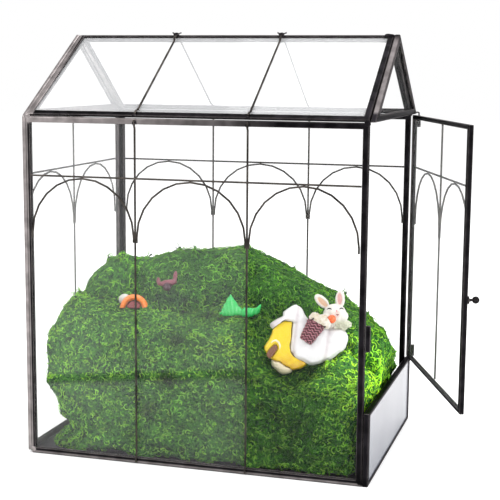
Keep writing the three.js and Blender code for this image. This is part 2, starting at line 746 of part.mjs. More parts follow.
/**
 * Solid in relief: a clockwise outline in the XZ plane that swells toward the viewer (-Y) and
 * backward, closed by a point at each side.
 */
function reliefSolid({ outline, middle, y, front, back, rows }, grow = 0) {
  const outward = mitres(outline);
  const rim = outline.map(([x, z], i) => [
    x + outward[i][0] * grow - middle[0],
    z + outward[i][1] * grow - middle[1],
  ]);
  const depthOf = (share) => y + share * ((share < 0 ? front : back) + grow);
  const points = rows.flatMap(([share, depth]) =>
    rim.map(([dx, dz]) => [middle[0] + dx * share, depthOf(depth), middle[1] + dz * share]),
  );
  const count = rim.length;
  const last = (rows.length - 1) * count;
  const triangles = [];
  for (let i = 0; i < count; i += 1) {
    const j = (i + 1) % count;
    for (let low = 0; low < last; low += count) {
      triangles.push([low + i, low + j, low + count + j], [low + i, low + count + j, low + count + i]);
    }
    triangles.push([points.length, j, i], [points.length + 1, last + i, last + j]);
  }
  points.push([middle[0], depthOf(-1), middle[1]], [middle[0], depthOf(1), middle[1]]);
  return toSolid(meshOf(points, triangles));
}

/** Turn a geometry about its own centre, then move it. */
function turnedAndMoved(geometry, turn, at) {
  const euler = new THREE.Euler(...turn.map(THREE.MathUtils.degToRad));
  geometry.applyMatrix4(new THREE.Matrix4().makeRotationFromEuler(euler));
  geometry.translate(...at);
  return geometry;
}

/** Woven basket: wider at the rim, its side in upright ribs between two hoops, heaped full. */
function cupSolid({ at, radius, height, turn, ribs }, grow = 0) {
  const sides = ribs * 2;
  const levels = [0, 0.12, 0.3, 0.5, 0.7, 0.88, 1];
  const rings = levels.map((level, row) =>
    Array.from({ length: sides }, (_, i) => {
      const plain = row === 0 || row === levels.length - 1;
      const weave = plain ? 0 : 0.45 * ((i + row) % 2 ? 1 : -1);
      const r = radius[0] + (radius[1] - radius[0]) * level + weave + grow;
      const angle = (2 * Math.PI * i) / sides;
      const z = (level - 0.5) * (height + 2 * grow);
      return [r * Math.cos(angle), r * Math.sin(angle), z];
    }),
  );
  return toSolid(turnedAndMoved(loft(rings), turn, at));
}

/** One ornament piece, grown on every side where a clearance is wanted. */
function ornamentSolid({ lumps, reliefs, cup }, grow = 0) {
  if (reliefs) return join(reliefs.map((relief) => reliefSolid(relief, grow)));
  if (cup) return cupSolid(cup, grow);
  return join(lumps.map((entry) => lump({ ...entry, grow })));
}

// ---- small ornaments half sunk in the moss ---------------------------------------------------

const SMALL_AT = {
  orange_arch: new THREE.Vector3(-62.7, -38, 103.8),
  green_leaves: new THREE.Vector3(21.4, -38, 105.8),
  pink_bird: new THREE.Vector3(-41.9, -20, 121.6),
};

/** Thick hoop standing on its ends. */
function hoopSolid(radius, tube, depth, grow = 0) {
  const steps = 16;
  const rings = Array.from({ length: steps + 1 }, (_, i) => {
    const angle = (Math.PI * i) / steps;
    return Array.from({ length: 8 }, (_, k) => {
      const around = (2 * Math.PI * (k + 0.5)) / 8;
      const out = radius + (tube + grow) * Math.cos(around);
      return [out * Math.cos(angle), (depth + grow) * Math.sin(around), out * Math.sin(angle)];
    });
  });
  return toSolid(loft(rings));
}

/** Arched door of a toy burrow, a half disc set back in its hoop. */
function archDoorSolid(radius, depth, grow = 0) {
  const steps = 10;
  const outline = Array.from({ length: steps + 1 }, (_, i) => {
    const angle = (Math.PI * i) / steps;
    return [(radius + grow) * Math.cos(angle), (radius + grow) * Math.sin(angle) - grow];
  });
  const ring = (y) => outline.map(([x, z]) => [x, y, z]);
  return toSolid(loft([ring(depth / 2 + grow), ring(-depth / 2 - grow)]));
}

/** Pair of leaves on a common foot: one stands up to a point, the other is hollow like a boat. */
const greenSolid = (grow = 0) => {
  const tall = { outline: OUTLINES.tallLeaf, middle: [-7, 3], y: 0, front: 2.6, back: 2.6, rows: DOMED };
  const cup = { outline: OUTLINES.cupLeaf, middle: [8.5, 0.8], y: 0, front: 5, back: 5, rows: DOMED };
  const hollow = lump({ at: [9, 0, 5.4], size: [5.4, 3.4, 4.4], grow: -grow });
  return join([reliefSolid(tall, grow), reliefSolid(cup, grow).subtract(hollow)]);
};

/** Tiny resin bird with a raised wing. */
const birdSolid = (grow = 0) =>
  join([
    lump({ at: [0, 0, 0], size: [7.5, 3, 2.6], turn: [0, -8, 0], grow }),
    lump({ at: [5.4, 0, 5], size: [1.9, 1.6, 5], turn: [0, 6, 0], grow }),
    lump({ at: [-7.4, 0, 1.2], size: [1.6, 1.8, 3.6], turn: [0, -8, 0], grow }),
    lump({ at: [-0.5, -0.4, -3.4], size: [3.6, 2.4, 3], grow }),
  ]);

// The order of cutting: a piece gives way to all those before it, so neighbours never overlap.
const CUT_ORDER = [
  'toy_carrot',
  'toy_basket',
  'toy_rabbit',
  'toy_house_door',
  'toy_house_base',
  'toy_house_roof',
  'toy_house_wall',
];

/** Every ornament as { name: { material, solid, grown } } in the part's frame. */
function ornamentSolids() {
  const clearance = 0.4;
  const pieces = {};
  const facing = (solid, at) => solid.rotate(FACING).translate(at.toArray());
  CUT_ORDER.forEach((name, index) => {
    const spec = ORNAMENT[name];
    const before = CUT_ORDER.slice(0, index).map((other) => pieces[other].grown);
    const cutBack = before.reduce((solid, other) => solid.subtract(other), ornamentSolid(spec));
    const grown = ornamentSolid(spec, clearance);
    pieces[name] = { material: spec.material, solid: largestBody(cutBack), grown };
  });
  for (const piece of Object.values(pieces)) {
    piece.solid = facing(piece.solid, ORNAMENT_AT);
    piece.grown = facing(piece.grown, ORNAMENT_AT);
  }
  const small = (name, at, material, make) => {
    pieces[name] = { material, solid: facing(make(0), at), grown: facing(make(clearance), at) };
  };
  const hoop = SMALL_AT.orange_arch;
  small('orange_arch', hoop, MATERIALS.orangeResin, (g) => hoopSolid(8.6, 2.4, 4.2, g));
  small('orange_arch_door', hoop, MATERIALS.maroonResin, (g) => archDoorSolid(5.7, 4, g));
  small('white_pebble', hoop, MATERIALS.whiteResin, (g) =>
    lump({ at: [-8.6, 8.4, 7], size: [5, 4, 4.6], grow: g }));
  small('green_leaves', SMALL_AT.green_leaves, MATERIALS.greenPlastic, greenSolid);
  small('pink_bird', SMALL_AT.pink_bird, MATERIALS.pinkResin, birdSolid);
  return pieces;
}

// ---- moss ------------------------------------------------------------------------------------

const MOSS = {
  centre: new THREE.Vector2(3, -0.4),
  half: new THREE.Vector2(119.5, 83.2),
  shoulderPower: 14, // how steep the heap's sides are
  columns: 30, // points of the skin over the top, left to right
  rows: 20, // and front to back
  brim: 0.97, // where the top ends and the side begins, as a share of the half-size
  tuftShare: 0.3, // share of the skin's points drawn out into tufts
  sprigCount: 50,
  sprigSpacing: 19,
  seamWidth: 0.5,
  cutCorner: 0.055, // how much of the reach the footprint's corners lose
  sideFrom: 9, // power that tells the sides from the top
  stray: 1.6, // seeded shift of each point, so that they don't line up
  crowd: 0.82, // how much the columns and rows crowd toward the rim, from 0 to 1
  sideRings: 14,
  mostTries: 20000, // draws of a place for a sprig
};

// Height of the heap over the floor plate, front row first, left to right, on an even grid.
const MOSS_GRID = { x: 120, y: 84 };
const MOSS_HEIGHTS = [
  [99, 98, 91, 74, 58],
  [117, 104, 100, 85, 74],
  [124, 134, 137, 122, 92],
  [121, 134, 142, 119, 84],
  [106, 118, 124, 99, 63],
];

/** Smooth curve through four heights, at share t between the middle two. */
function curve4(a, b, c, d, t) {
  return b + 0.5 * t * (c - a + t * (2 * a - 5 * b + 4 * c - d + t * (3 * (b - c) + d - a)));
}

/** Smooth height of the heap at a point of the floor. */
function heapHeight(x, y) {
  const last = MOSS_HEIGHTS.length - 1;
  const locate = (value, half) => {
    const spot = THREE.MathUtils.clamp(((value + half) / (2 * half)) * last, 0, last - 1e-6);
    return [Math.floor(spot), spot - Math.floor(spot)];
  };
  const [column, tx] = locate(x, MOSS_GRID.x);
  const [row, ty] = locate(y, MOSS_GRID.y);
  const pick = (r, c) =>
    MOSS_HEIGHTS[THREE.MathUtils.clamp(r, 0, last)][THREE.MathUtils.clamp(c, 0, last)];
  const rows = [-1, 0, 1, 2].map((dr) =>
    curve4(...[-1, 0, 1, 2].map((dc) => pick(row + dr, column + dc)), tx),
  );
  return curve4(...rows, ty);
}

/** The seam between the front cushion and the hill behind it, as y over x. */
const seamY = (x) => -19 + 5 * Math.sin(x / 26) + 3 * Math.sin(x / 11 + 1);

/** Humps of the moss, each a soft bump at a seeded place. */
const HUMPS = Array.from({ length: 34 }, () => ({
  x: between(-112, 116),
  y: between(-78, 78),
  reach: between(11, 19),
  rise: between(2.5, 6),
}));

// Hollow pressed into the cushion where the rabbit's toy house lies.
const HOLLOW = { x: 62, y: -54, reach: 25, depth: 17 };

/** Height with the seam's furrow, the humps and the hollow. */
function mossHeight(x, y) {
  const pressed = Math.hypot(x - HOLLOW.x, y - HOLLOW.y) / HOLLOW.reach;
  const furrow = 9 * Math.exp(-(((y - seamY(x)) / 6.5) ** 2));
  const humps = HUMPS.reduce((sum, hump) => {
    const away = Math.hypot(x - hump.x, y - hump.y) / hump.reach;
    return sum + hump.rise * Math.exp(-away * away);
  }, 0);
  return heapHeight(x, y) - furrow + humps - HOLLOW.depth * Math.exp(-(pressed ** 4)) - 2;
}

/** How far the heap's side draws in near its foot, strongest at the left end. */
function undercut(z, side) {
  const layer = THREE.MathUtils.smoothstep(z, 11, 20) * (1 - THREE.MathUtils.smoothstep(z, 20, 28));
  const slope = 5.5 * THREE.MathUtils.smoothstep(z, 4, 13) * (1 - THREE.MathUtils.smoothstep(z, 40, 50));
  return (slope + 12.5 * layer) * side;
}

/** Clumps on the heap's skin, in millimetres: soft swells, and seeded points that stand out. */
const clumps = (x, y, z) =>
  1.5 * Math.sin(x / 7.1 + 2 * Math.sin(z / 11)) * Math.sin(y / 7.7 + z / 9.3) +
  0.9 * Math.sin(z / 4.3 + x / 8.9) +
  (random() < MOSS.tuftShare ? between(1.6, 3.4) : between(-1.8, 0.4));

/** Height share of the rounded shoulder at a reach from the middle, and the other way round. */
const shoulder = (share) => (1 - share ** MOSS.shoulderPower) ** (1 / MOSS.shoulderPower);

/**
 * Point of the heap's skin. (u, v) runs from -1 to 1 over the half-sizes, lift is the share of the
 * heap's height there.
 */
function skinPoint(u, v, lift, floor) {
  const { centre, half } = MOSS;
  const corner = 1 - MOSS.cutCorner * (u * v) ** 6;
  const x = centre.x + half.x * u * corner;
  const y = centre.y + half.y * v * corner;
  const z = floor + lift * (mossHeight(x, y) - floor);
  const steepness = (share) => Math.sign(share) * Math.abs(share) ** MOSS.sideFrom;
  const steep = new THREE.Vector2(steepness(u), steepness(v));
  const side = THREE.MathUtils.smoothstep(steep.length(), 0.3, 0.7);
  const outward = steep.normalize();
  const swell = clumps(x, y, z);
  const push = side * (swell - 1);
  const leftward = THREE.MathUtils.smoothstep(-x, 60, 112);
  const stray = () => between(-MOSS.stray, MOSS.stray);
  return [
    x + undercut(z, leftward) + outward.x * push + stray(),
    y + outward.y * push + stray(),
    lift > 0 ? z + 1.8 * swell * (1 - side) + stray() : floor,
  ];
}

/** Core of the heap: a grid of points over the top, and rings from its rim down to the floor. */
function heapGeometry(floor) {
  const { columns, rows, brim, sideRings } = MOSS;
  const lifts = Array.from({ length: sideRings }, (_, i) => 0.9 * (1 - i / (sideRings - 1)));
  const quarter = (Math.PI / 2) * MOSS.crowd;
  const spread = (index, count) =>
    (brim * Math.sin(quarter * ((2 * index) / (count - 1) - 1))) / Math.sin(quarter);
  const points = [];
  const triangles = [];
  const at = (column, row) => row * columns + column;
  for (let row = 0; row < rows; row += 1) {
    for (let column = 0; column < columns; column += 1) {
      const [u, v] = [spread(column, columns), spread(row, rows)];
      points.push(skinPoint(u, v, shoulder(Math.max(Math.abs(u), Math.abs(v))), floor));
      if (row > 0 && column > 0) {
        const [a, b] = [at(column - 1, row - 1), at(column, row - 1)];
        const [c, d] = [at(column, row), at(column - 1, row)];
        triangles.push(...((row + column) % 2 ? [[a, b, c], [a, c, d]] : [[a, b, d], [b, c, d]]));
      }
    }
  }
  const rim = [];
  for (let column = 0; column < columns - 1; column += 1) rim.push([column, 0]);
  for (let row = 0; row < rows - 1; row += 1) rim.push([columns - 1, row]);
  for (let column = columns - 1; column > 0; column -= 1) rim.push([column, rows - 1]);
  for (let row = rows - 1; row > 0; row -= 1) rim.push([0, row]);
  let above = rim.map(([column, row]) => at(column, row));
  for (const lift of lifts) {
    const reach = shoulder(lift) / brim;
    const ring = rim.map(([column, row]) => {
      const [u, v] = [spread(column, columns) * reach, spread(row, rows) * reach];
      return points.push(skinPoint(u, v, lift, floor)) - 1;
    });
    ring.forEach((low, i) => {
      const j = (i + 1) % ring.length;
      triangles.push([low, ring[j], above[j]], [low, above[j], above[i]]);
    });
    above = ring;
  }
  for (let i = 1; i + 1 < above.length; i += 1) triangles.push([above[0], above[i + 1], above[i]]);
  return meshOf(points, triangles);
}

/** Curled sprig: three-sided, bent over to a point. */
function sprigSolid(root, direction, length, radius, bend) {
  const forward = direction.clone().normalize();
  const side = new THREE.Vector3().crossVectors(forward, bend).normalize();
  const other = new THREE.Vector3().crossVectors(side, forward);
  const spine = (t) =>
    root
      .clone()
      .addScaledVector(forward, length * t)
      .addScaledVector(bend, length * 0.55 * t * t);
  const ring = (t, width) =>
    Array.from({ length: 3 }, (_, k) => {
      const angle = (2 * Math.PI * k) / 3;
      return spine(t)
        .addScaledVector(side, width * Math.cos(angle))
        .addScaledVector(other, width * Math.sin(angle))
        .toArray();
    });
  return toSolid(loft([ring(-0.35, radius), ring(0.5, radius * 0.95), ring(1, radius * 0.25)]));
}

/** Sprigs spread evenly over the heap by a seeded draw, leaning out and curling over. */
function sprigSolids(heap) {
  const skin = heap.toNonIndexed();
  const sampler = new MeshSurfaceSampler(new THREE.Mesh(skin));
  sampler.setRandomGenerator(random);
  sampler.build();
  const point = new THREE.Vector3();
  const normal = new THREE.Vector3();
  const roots = [];
  const sprigs = [];
  for (let tries = 0; tries < MOSS.mostTries && sprigs.length < MOSS.sprigCount; tries += 1) {
    sampler.sample(point, normal);
    const crowded = roots.some((root) => root.distanceTo(point) < MOSS.sprigSpacing);
    if (crowded || point.z < 8 || normal.z < -0.6) continue;
    roots.push(point.clone());
    const lean = new THREE.Vector3(between(-1, 1), between(-1, 1), between(-1, 1)).normalize();
    const direction = normal.clone().multiplyScalar(0.9).add(lean);
    const bend = lean.cross(normal).addScaledVector(normal, -0.4).normalize();
    sprigs.push(sprigSolid(point.clone(), direction, between(7, 10), between(2.2, 3), bend));
  }
  return sprigs;
}

/** Floor outline of everything on one side of the seam. */
function seamRegion(front) {
  const steps = 24;
  const offset = (front ? -1 : 1) * MOSS.seamWidth * 0.5;
  const line = Array.from({ length: steps + 1 }, (_, i) => {
    const x = -140 + (280 * i) / steps;
    return [x, seamY(x) + offset];
  });
  return front
    ? [[-140, -100], [140, -100], ...line.reverse()]
    : [...line, [140, 100], [-140, 100]];
}

function seamSolid(front) {
  const region = new THREE.Shape(seamRegion(front).map(([x, y]) => new THREE.Vector2(x, y)));
  const geometry = new THREE.ExtrudeGeometry(region, { depth: 220, bevelEnabled: false });
  return toSolid(geometry);
}

function addMossAndOrnaments() {
  const floor = PLATE + GAP;
  const heap = heapGeometry(floor);
  const room = toSolid(
    new THREE.BoxGeometry(WIDTH - 2 * GAP - 1, DEPTH - 2 * CAME - 2 * GAP, 200).translate(0, 0, 100 + floor),
  );
  let moss = join([toSolid(heap), ...sprigSolids(heap)]).intersect(room);
  const ornaments = ornamentSolids();
  for (const [name, { solid, material, grown }] of Object.entries(ornaments)) {
    place(name, toGeometry(solid), material);
    moss = moss.subtract(grown);
  }
  for (const [name, front, material] of [
    ['moss_front_cushion', true, MATERIALS.mossFront],
    ['moss_back_hill', false, MATERIALS.mossBack],
  ]) {
    place(name, toGeometry(largestBody(moss.intersect(seamSolid(front)))), material);
  }
}

// ---- assembly ---------------------------------------------------------------------------------

addPlate();
addWalls();
addGables();
addSlope('front', true);
addSlope('back', false);
addDoor();
addHingePins();
addCatch();
addMossAndOrnaments();

export default terrarium;
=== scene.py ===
"""Dresses the glass plant terrarium: metal strips, wires, panes, a heap of curled moss and the
small resin ornaments that lie in it.

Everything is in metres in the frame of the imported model: +X to the right, +Y to the back, +Z up,
with the origin at the centre of the underside. Sizes that follow the model are given in
millimetres and turned to metres by MM.
"""

import logging
import math
from collections.abc import Callable, Iterable, Sequence
from dataclasses import dataclass, field
from enum import Enum
from typing import ClassVar

import bpy
import numpy as np
from mathutils import Euler, Matrix, Vector
from mathutils.bvhtree import BVHTree


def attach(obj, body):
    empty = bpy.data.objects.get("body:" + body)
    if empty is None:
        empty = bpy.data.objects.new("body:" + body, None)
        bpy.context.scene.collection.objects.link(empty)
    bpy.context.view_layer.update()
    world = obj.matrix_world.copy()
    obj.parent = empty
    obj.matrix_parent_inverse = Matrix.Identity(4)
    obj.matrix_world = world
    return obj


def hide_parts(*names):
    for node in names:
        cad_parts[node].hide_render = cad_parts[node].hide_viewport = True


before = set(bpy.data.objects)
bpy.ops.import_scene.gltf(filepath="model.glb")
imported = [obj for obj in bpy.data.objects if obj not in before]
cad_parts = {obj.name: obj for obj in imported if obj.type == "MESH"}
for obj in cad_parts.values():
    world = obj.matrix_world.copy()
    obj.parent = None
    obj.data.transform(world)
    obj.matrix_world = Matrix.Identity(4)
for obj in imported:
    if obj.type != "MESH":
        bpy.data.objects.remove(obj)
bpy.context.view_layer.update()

LOG = logging.getLogger("terrarium")
MM = 0.001
SEED = 20417
Array = np.ndarray
Point = tuple[float, float, float]
Span = tuple[float, float]


class Body(Enum):
    """The two rigid bodies of the model."""

    HOUSE = "house"
    DOOR = "door"


# ---- shader helpers --------------------------------------------------------------------------


def linear(colour: str) -> tuple[float, float, float, float]:
    """Turn an sRGB hex colour to linear light.

    Args:
        colour: six hex digits after a hash sign.

    Returns:
        Red, green, blue and an alpha of one.
    """
    digits = colour.lstrip("#")
    shares = [int(digits[i : i + 2], 16) / 255 for i in (0, 2, 4)]
    light = [s / 12.92 if s <= 0.04045 else ((s + 0.055) / 1.055) ** 2.4 for s in shares]
    return (*light, 1.0)


def add_node(
    tree: bpy.types.NodeTree,
    kind: str,
    settings: dict | None = None,
    links: dict | None = None,
) -> bpy.types.Node:
    """Add one shader node with its settings and links.

    Args:
        tree: the node tree of a material.
        kind: the node's type name without its ShaderNode prefix.
        settings: values by property name, input name or input number. The key stops holds a
            colour ramp's list of (position, hex colour).
        links: output sockets by input name or input number. A node stands for its first output.

    Returns:
        The new node.
    """
    node = tree.nodes.new("ShaderNode" + kind)
    for key, value in (settings or {}).items():
        if key == "stops":
            elements = node.color_ramp.elements
            while len(elements) < len(value):
                elements.new(0.5)
            for element, (position, colour) in zip(elements, value):
                element.position = position
                element.color = linear(colour)
        elif isinstance(key, str) and hasattr(node, key):
            setattr(node, key, value)
        else:
            node.inputs[key].default_value = value
    for key, source in (links or {}).items():
        socket = source.outputs[0] if isinstance(source, bpy.types.Node) else source
        tree.links.new(socket, node.inputs[key])
    return node


def spanned(source: Span, target: Span) -> dict[str, float]:
    """Give the settings that carry a number from one span to another, held at the ends."""
    return {"From Min": source[0], "From Max": source[1], "To Min": target[0], "To Max": target[1]}


def blots(size_mm: float, detail: float) -> dict[str, float]:
    """Give the settings of cloudy noise whose largest blots have a real size."""
    return {"Scale": 1 / (size_mm * MM), "Detail": detail}


def in_metres(span_mm: Span) -> Span:
    """Turn a span from millimetres to metres."""
    return span_mm[0] * MM, span_mm[1] * MM


def empty_material(name: str) -> bpy.types.Material:
    """Make a material with no nodes.

    Args:
        name: the material's name.

    Returns:
        The material.
    """
    material = bpy.data.materials.new(name)
    material.use_nodes = True
    material.node_tree.nodes.clear()
    return material


def finished(material: bpy.types.Material, shader: bpy.types.Node) -> bpy.types.Material:
    """Show a shader on the surface of a material, and hand the material back."""
    add_node(material.node_tree, "OutputMaterial", links={"Surface": shader})
    return material


# ---- finishes ---------------------------------------------------------------------------------


@dataclass(frozen=True)
class PatinaMetal:
    """Solder over copper foil, blackened by a chemical patina.

    The eye sees a near-black, softly shining metal with rounded edges. The edges are painted
    lighter: partly the patina worn thin, where the grey solder comes through, and partly a painted
    highlight where the rounded edges catch the light, more of it on the left. The patina is cloudy
    on the faces, where it took unevenly. Some strips at the left are painted mostly light: partly
    patina rubbed off, partly a painted reflection. The rubbed_highlight values give how much is
    painted lighter at the left post, the upper rail, the foot and the front of a gable.
    """

    name: str
    dark: str = "#0b0a0c"
    cloud: str = "#1d1b1e"
    # worn_highlight: bare solder, and painted highlight on the edges and on the strips at the left
    worn_highlight: str = "#b5adac"
    gleam: str = "#9c9a9c"
    roughness: float = 0.3
    edge_mm: float = 1.0
    edge_cosines: Span = (0.995, 0.82)
    # How much is painted lighter: painted highlight on the edges, more at the left, and on the left
    # post, upper rail, foot and gable front, partly patina worn thin
    edge_share: float = 0.35
    edge_share_left: float = 0.35
    uneven: Span = (0.55, 1.15)
    rubbed_highlight_all: float = 0.0
    rubbed_highlight_post: float = 0.0
    rubbed_highlight_rail: float = 0.0
    rubbed_highlight_foot: float = 0.0
    rubbed_highlight_front: float = 0.0
    post_mm: float = 1.4
    post_blur_mm: float = 0.4
    rail_from_mm: Span = (244.0, 246.0)
    foot_from_mm: Span = (0.4, 0.9)
    foot_to_mm: Span = (2.4, 1.8)
    gable_from_mm: Span = (255.0, 257.0)
    gable_front_mm: Span = (-6.0, -1.0)
    cloud_mm: float = 9.0
    grain_mm: float = 0.7
    grain_depth_mm: float = 0.08
    half_width_mm: float = 125.0

    def material(self) -> bpy.types.Material:
        """Build the material.

        Returns:
            The finished material.
        """
        material = empty_material(self.name)
        tree = material.node_tree
        place = add_node(tree, "TexCoord").outputs["Object"]
        clouds = add_node(tree, "TexNoise", blots(self.cloud_mm, 4.0), {"Vector": place})
        grain = add_node(tree, "TexNoise", blots(self.grain_mm, 3.0), {"Vector": place})
        stops = [(0.38, self.dark), (0.66, self.cloud)]
        tone = add_node(tree, "ValToRGB", {"stops": stops}, {"Fac": clouds})
        rounded = add_node(tree, "Bevel", {"samples": 6, "Radius": self.edge_mm * MM})
        wear_and_highlight = self.wear_and_highlight(tree, place, rounded, clouds)
        # The lighter colour mixed in is partly bare solder, partly painted highlight
        colour = add_node(tree, "MixRGB", {"Color2": linear(self.worn_highlight)}, {"Fac": wear_and_highlight, "Color1": tone})
        shine = (self.roughness - 0.08, self.roughness + 0.16)
        gloss = add_node(tree, "MapRange", spanned((0, 1), shine), {"Value": grain})
        bump = add_node(
            tree,
            "Bump",
            {"Strength": 0.25, "Distance": self.grain_depth_mm * MM},
            {"Height": grain, "Normal": rounded},
        )
        shader = add_node(
            tree,
            "BsdfPrincipled",
            {"Metallic": 0.85, "Specular IOR Level": 0.25, "Specular Tint": linear(self.gleam)},
            {"Base Color": colour, "Roughness": gloss, "Normal": bump},
        )
        return finished(material, shader)

    def wear_and_highlight(
        self,
        tree: bpy.types.NodeTree,
        place: bpy.types.NodeSocket,
        rounded: bpy.types.Node,
        clouds: bpy.types.Node,
    ) -> bpy.types.Node:
        """Say how much of the patina is painted lighter: worn thin, and painted highlight.

        Args:
            tree: the material's node tree.
            place: its texture coordinates.
            rounded: the rounded normal, which turns away from the true one at an edge.
            clouds: the uneven patina.

        Returns:
            A node whose first output runs from 0 to 1.
        """
        x, y, z = add_node(tree, "SeparateXYZ", links={"Vector": place}).outputs
        half = self.half_width_mm * MM
        true_normal = add_node(tree, "NewGeometry").outputs["Normal"]
        alike = add_node(
            tree, "VectorMath", {"operation": "DOT_PRODUCT"}, {0: rounded, 1: true_normal}
        ).outputs["Value"]
        post_from = (self.post_mm + self.post_blur_mm) * MM - half
        post_to = (self.post_mm - self.post_blur_mm) * MM - half
        # Painted highlight: the rounded edges, more on the left, and the left post, upper rail, foot
        # and gable front are painted lighter, partly patina rubbed thin
        spans = {
            "edge": (alike, self.edge_cosines, (0, 1)),
            "share": (x, (-half, half), (self.edge_share_left, self.edge_share)),
            "patches": (clouds.outputs["Fac"], (0.3, 0.7), self.uneven),
            "post": (x, (post_from, post_to), (self.rubbed_highlight_all, self.rubbed_highlight_post)),
            "leftward": (x, (0.5 * half, -half), (0, self.rubbed_highlight_rail)),
            "high": (z, in_metres(self.rail_from_mm), (0, 1)),
            "over_ground": (z, in_metres(self.foot_from_mm), (0, self.rubbed_highlight_foot)),
            "low": (z, in_metres(self.foot_to_mm), (0, 1)),
            "forward": (y, in_metres(self.gable_front_mm), (self.rubbed_highlight_front, 0)),
            "in_gable": (z, in_metres(self.gable_from_mm), (0, 1)),
        }
        parts = {
            name: add_node(tree, "MapRange", spanned(source, target), {"Value": value})
            for name, (value, source, target) in spans.items()
        }
        steps = (
            ("edge", "MULTIPLY", "edge", "share"),
            ("edge", "MULTIPLY", "edge", "patches"),
            ("rail", "MULTIPLY", "leftward", "high"),
            ("foot", "MULTIPLY", "over_ground", "low"),
            ("front", "MULTIPLY", "forward", "in_gable"),
            ("rubbed_highlight", "MAXIMUM", "post", "rail"),
            ("rubbed_highlight", "MAXIMUM", "rubbed_highlight", "foot"),
            ("rubbed_highlight", "MAXIMUM", "rubbed_highlight", "front"),
            ("rubbed_highlight", "MULTIPLY", "rubbed_highlight", "patches"),
            ("rubbed_highlight", "MAXIMUM", "rubbed_highlight", "edge"),
        )
        for name, operation, first, second in steps:
            links = {0: parts[first], 1: parts[second]}
            parts[name] = add_node(tree, "Math", {"operation": operation}, links)
        return parts["rubbed_highlight"]


@dataclass(frozen=True)
class FloatGlass:
    """Float glass of 1.6 mm, cut and set in the strips.

    The eye looks straight through it, sees the bright room in it where it looks along the pane,
    and sees a thin whitish film where there is one, a painted reflection of the bright room and
    the lights. The film has its own cloudy shape, grows thinner to the right and has a clear
    streak across it.
    """

    name: str
    tint: str = "#f1f2f4"
    # reflection_film: a whitish film over the glass, a painted reflection of the bright room
    reflection_film: float = 0.01
    grazing: float = 0.25
    reflection_film_edge_mm: float = 0.0
    reflection_film_clear_mm: float = 0.0
    reflection_film_strength: float = 0.0
    reflection_film_thinned: float = 0.6
    reflection_blots_mm: float = 60.0
    streak_mm: float = 68.8
    streak_slope: float = 0.104
    streak_half_mm: float = 1.6
    streak_left: float = 0.15
    half_width_mm: float = 125.0

    def material(self) -> bpy.types.Material:
        """Build the material.

        Returns:
            The finished material.
        """
        material = empty_material(self.name)
        tree = material.node_tree
        place = add_node(tree, "TexCoord").outputs["Object"]
        slant = add_node(tree, "LayerWeight", {"Blend": 0.5}).outputs["Facing"]
        seen = spanned((0.45, 1.0), (self.reflection_film, self.grazing))
        mirror = add_node(tree, "MapRange", seen, {"Value": slant})
        alpha = add_node(tree, "Math", {"operation": "ADD"}, {0: self.reflection_veil(tree, place), 1: mirror})
        settings = {"Base Color": linear(self.tint), "Roughness": 0.06, "IOR": 1.5}
        return finished(material, add_node(tree, "BsdfPrincipled", settings, {"Alpha": alpha}))

    def reflection_veil(self, tree: bpy.types.NodeTree, place: bpy.types.NodeSocket) -> bpy.types.Node:
        """Say how thick the painted reflection film is.

        Args:
            tree: the material's node tree.
            place: its texture coordinates.

        Returns:
            A node whose first output runs from 0 to the film's strength.
        """
        # Painted reflection: thicker at the left, cloudy, with a clear streak across it
        x, _, z = add_node(tree, "SeparateXYZ", links={"Vector": place}).outputs
        reflection_blots = add_node(tree, "TexNoise", blots(self.reflection_blots_mm, 2.0), {"Vector": place})
        slope = {"operation": "MULTIPLY_ADD", 1: -self.streak_slope}
        lifted = add_node(tree, "Math", slope, {0: x, 2: z})
        off = add_node(tree, "Math", {"operation": "SUBTRACT", 1: self.streak_mm * MM}, {0: lifted})
        far = add_node(tree, "Math", {"operation": "ABSOLUTE"}, {0: off})
        edge_mm = self.reflection_film_edge_mm
        factors = (
            (x, (-self.half_width_mm, edge_mm), MM, (1, self.reflection_film_thinned)),
            (reflection_blots, (0.3, 0.7), 1, (0.7, 1.15)),
            (far, (self.streak_half_mm, 3 * self.streak_half_mm), MM, (self.streak_left, 1)),
        )
        covered = spanned(in_metres((self.reflection_film_clear_mm, edge_mm)), (0, self.reflection_film_strength))
        reflection_film = add_node(tree, "MapRange", covered, {"Value": x})
        for value, (low, high), measure, target in factors:
            settings = spanned((low * measure, high * measure), target)
            factor = add_node(tree, "MapRange", settings, {"Value": value})
            reflection_film = add_node(tree, "Math", {"operation": "MULTIPLY"}, {0: reflection_film, 1: factor})
        return reflection_film


@dataclass(frozen=True)
class SheetSteel:
    """Cold-rolled sheet, painted dark grey.

    The eye sees a flat grey with faint rolling lines and a little dust from the moss.
    """

    name: str
    colour: str = "#242225"
    dust: str = "#45433c"
    dust_mm: float = 1.6
    line_depth_mm: float = 0.05
    line_stretch: Point = (12.0, 900.0, 12.0)

    def material(self) -> bpy.types.Material:
        """Build the material.

        Returns:
            The finished material.
        """
        material = empty_material(self.name)
        tree = material.node_tree
        place = add_node(tree, "TexCoord").outputs["Object"]
        stretch = add_node(tree, "Mapping", {"Scale": self.line_stretch}, {"Vector": place})
        lines = add_node(tree, "TexNoise", {"Scale": 1.0, "Detail": 3.0}, {"Vector": stretch})
        specks = add_node(tree, "TexNoise", blots(self.dust_mm, 2.0), {"Vector": place})
        dusty = add_node(tree, "MapRange", spanned((0.55, 0.75), (0, 0.5)), {"Value": specks})
        colours = {"Color1": linear(self.colour), "Color2": linear(self.dust)}
        colour = add_node(tree, "MixRGB", colours, {"Fac": dusty})
        depth = {"Strength": 0.2, "Distance": self.line_depth_mm * MM}
        bump = add_node(tree, "Bump", depth, {"Height": lines})
        settings = {"Metallic": 0.5, "Roughness": 0.5}
        links = {"Base Color": colour, "Normal": bump}
        return finished(material, add_node(tree, "BsdfPrincipled", settings, links))


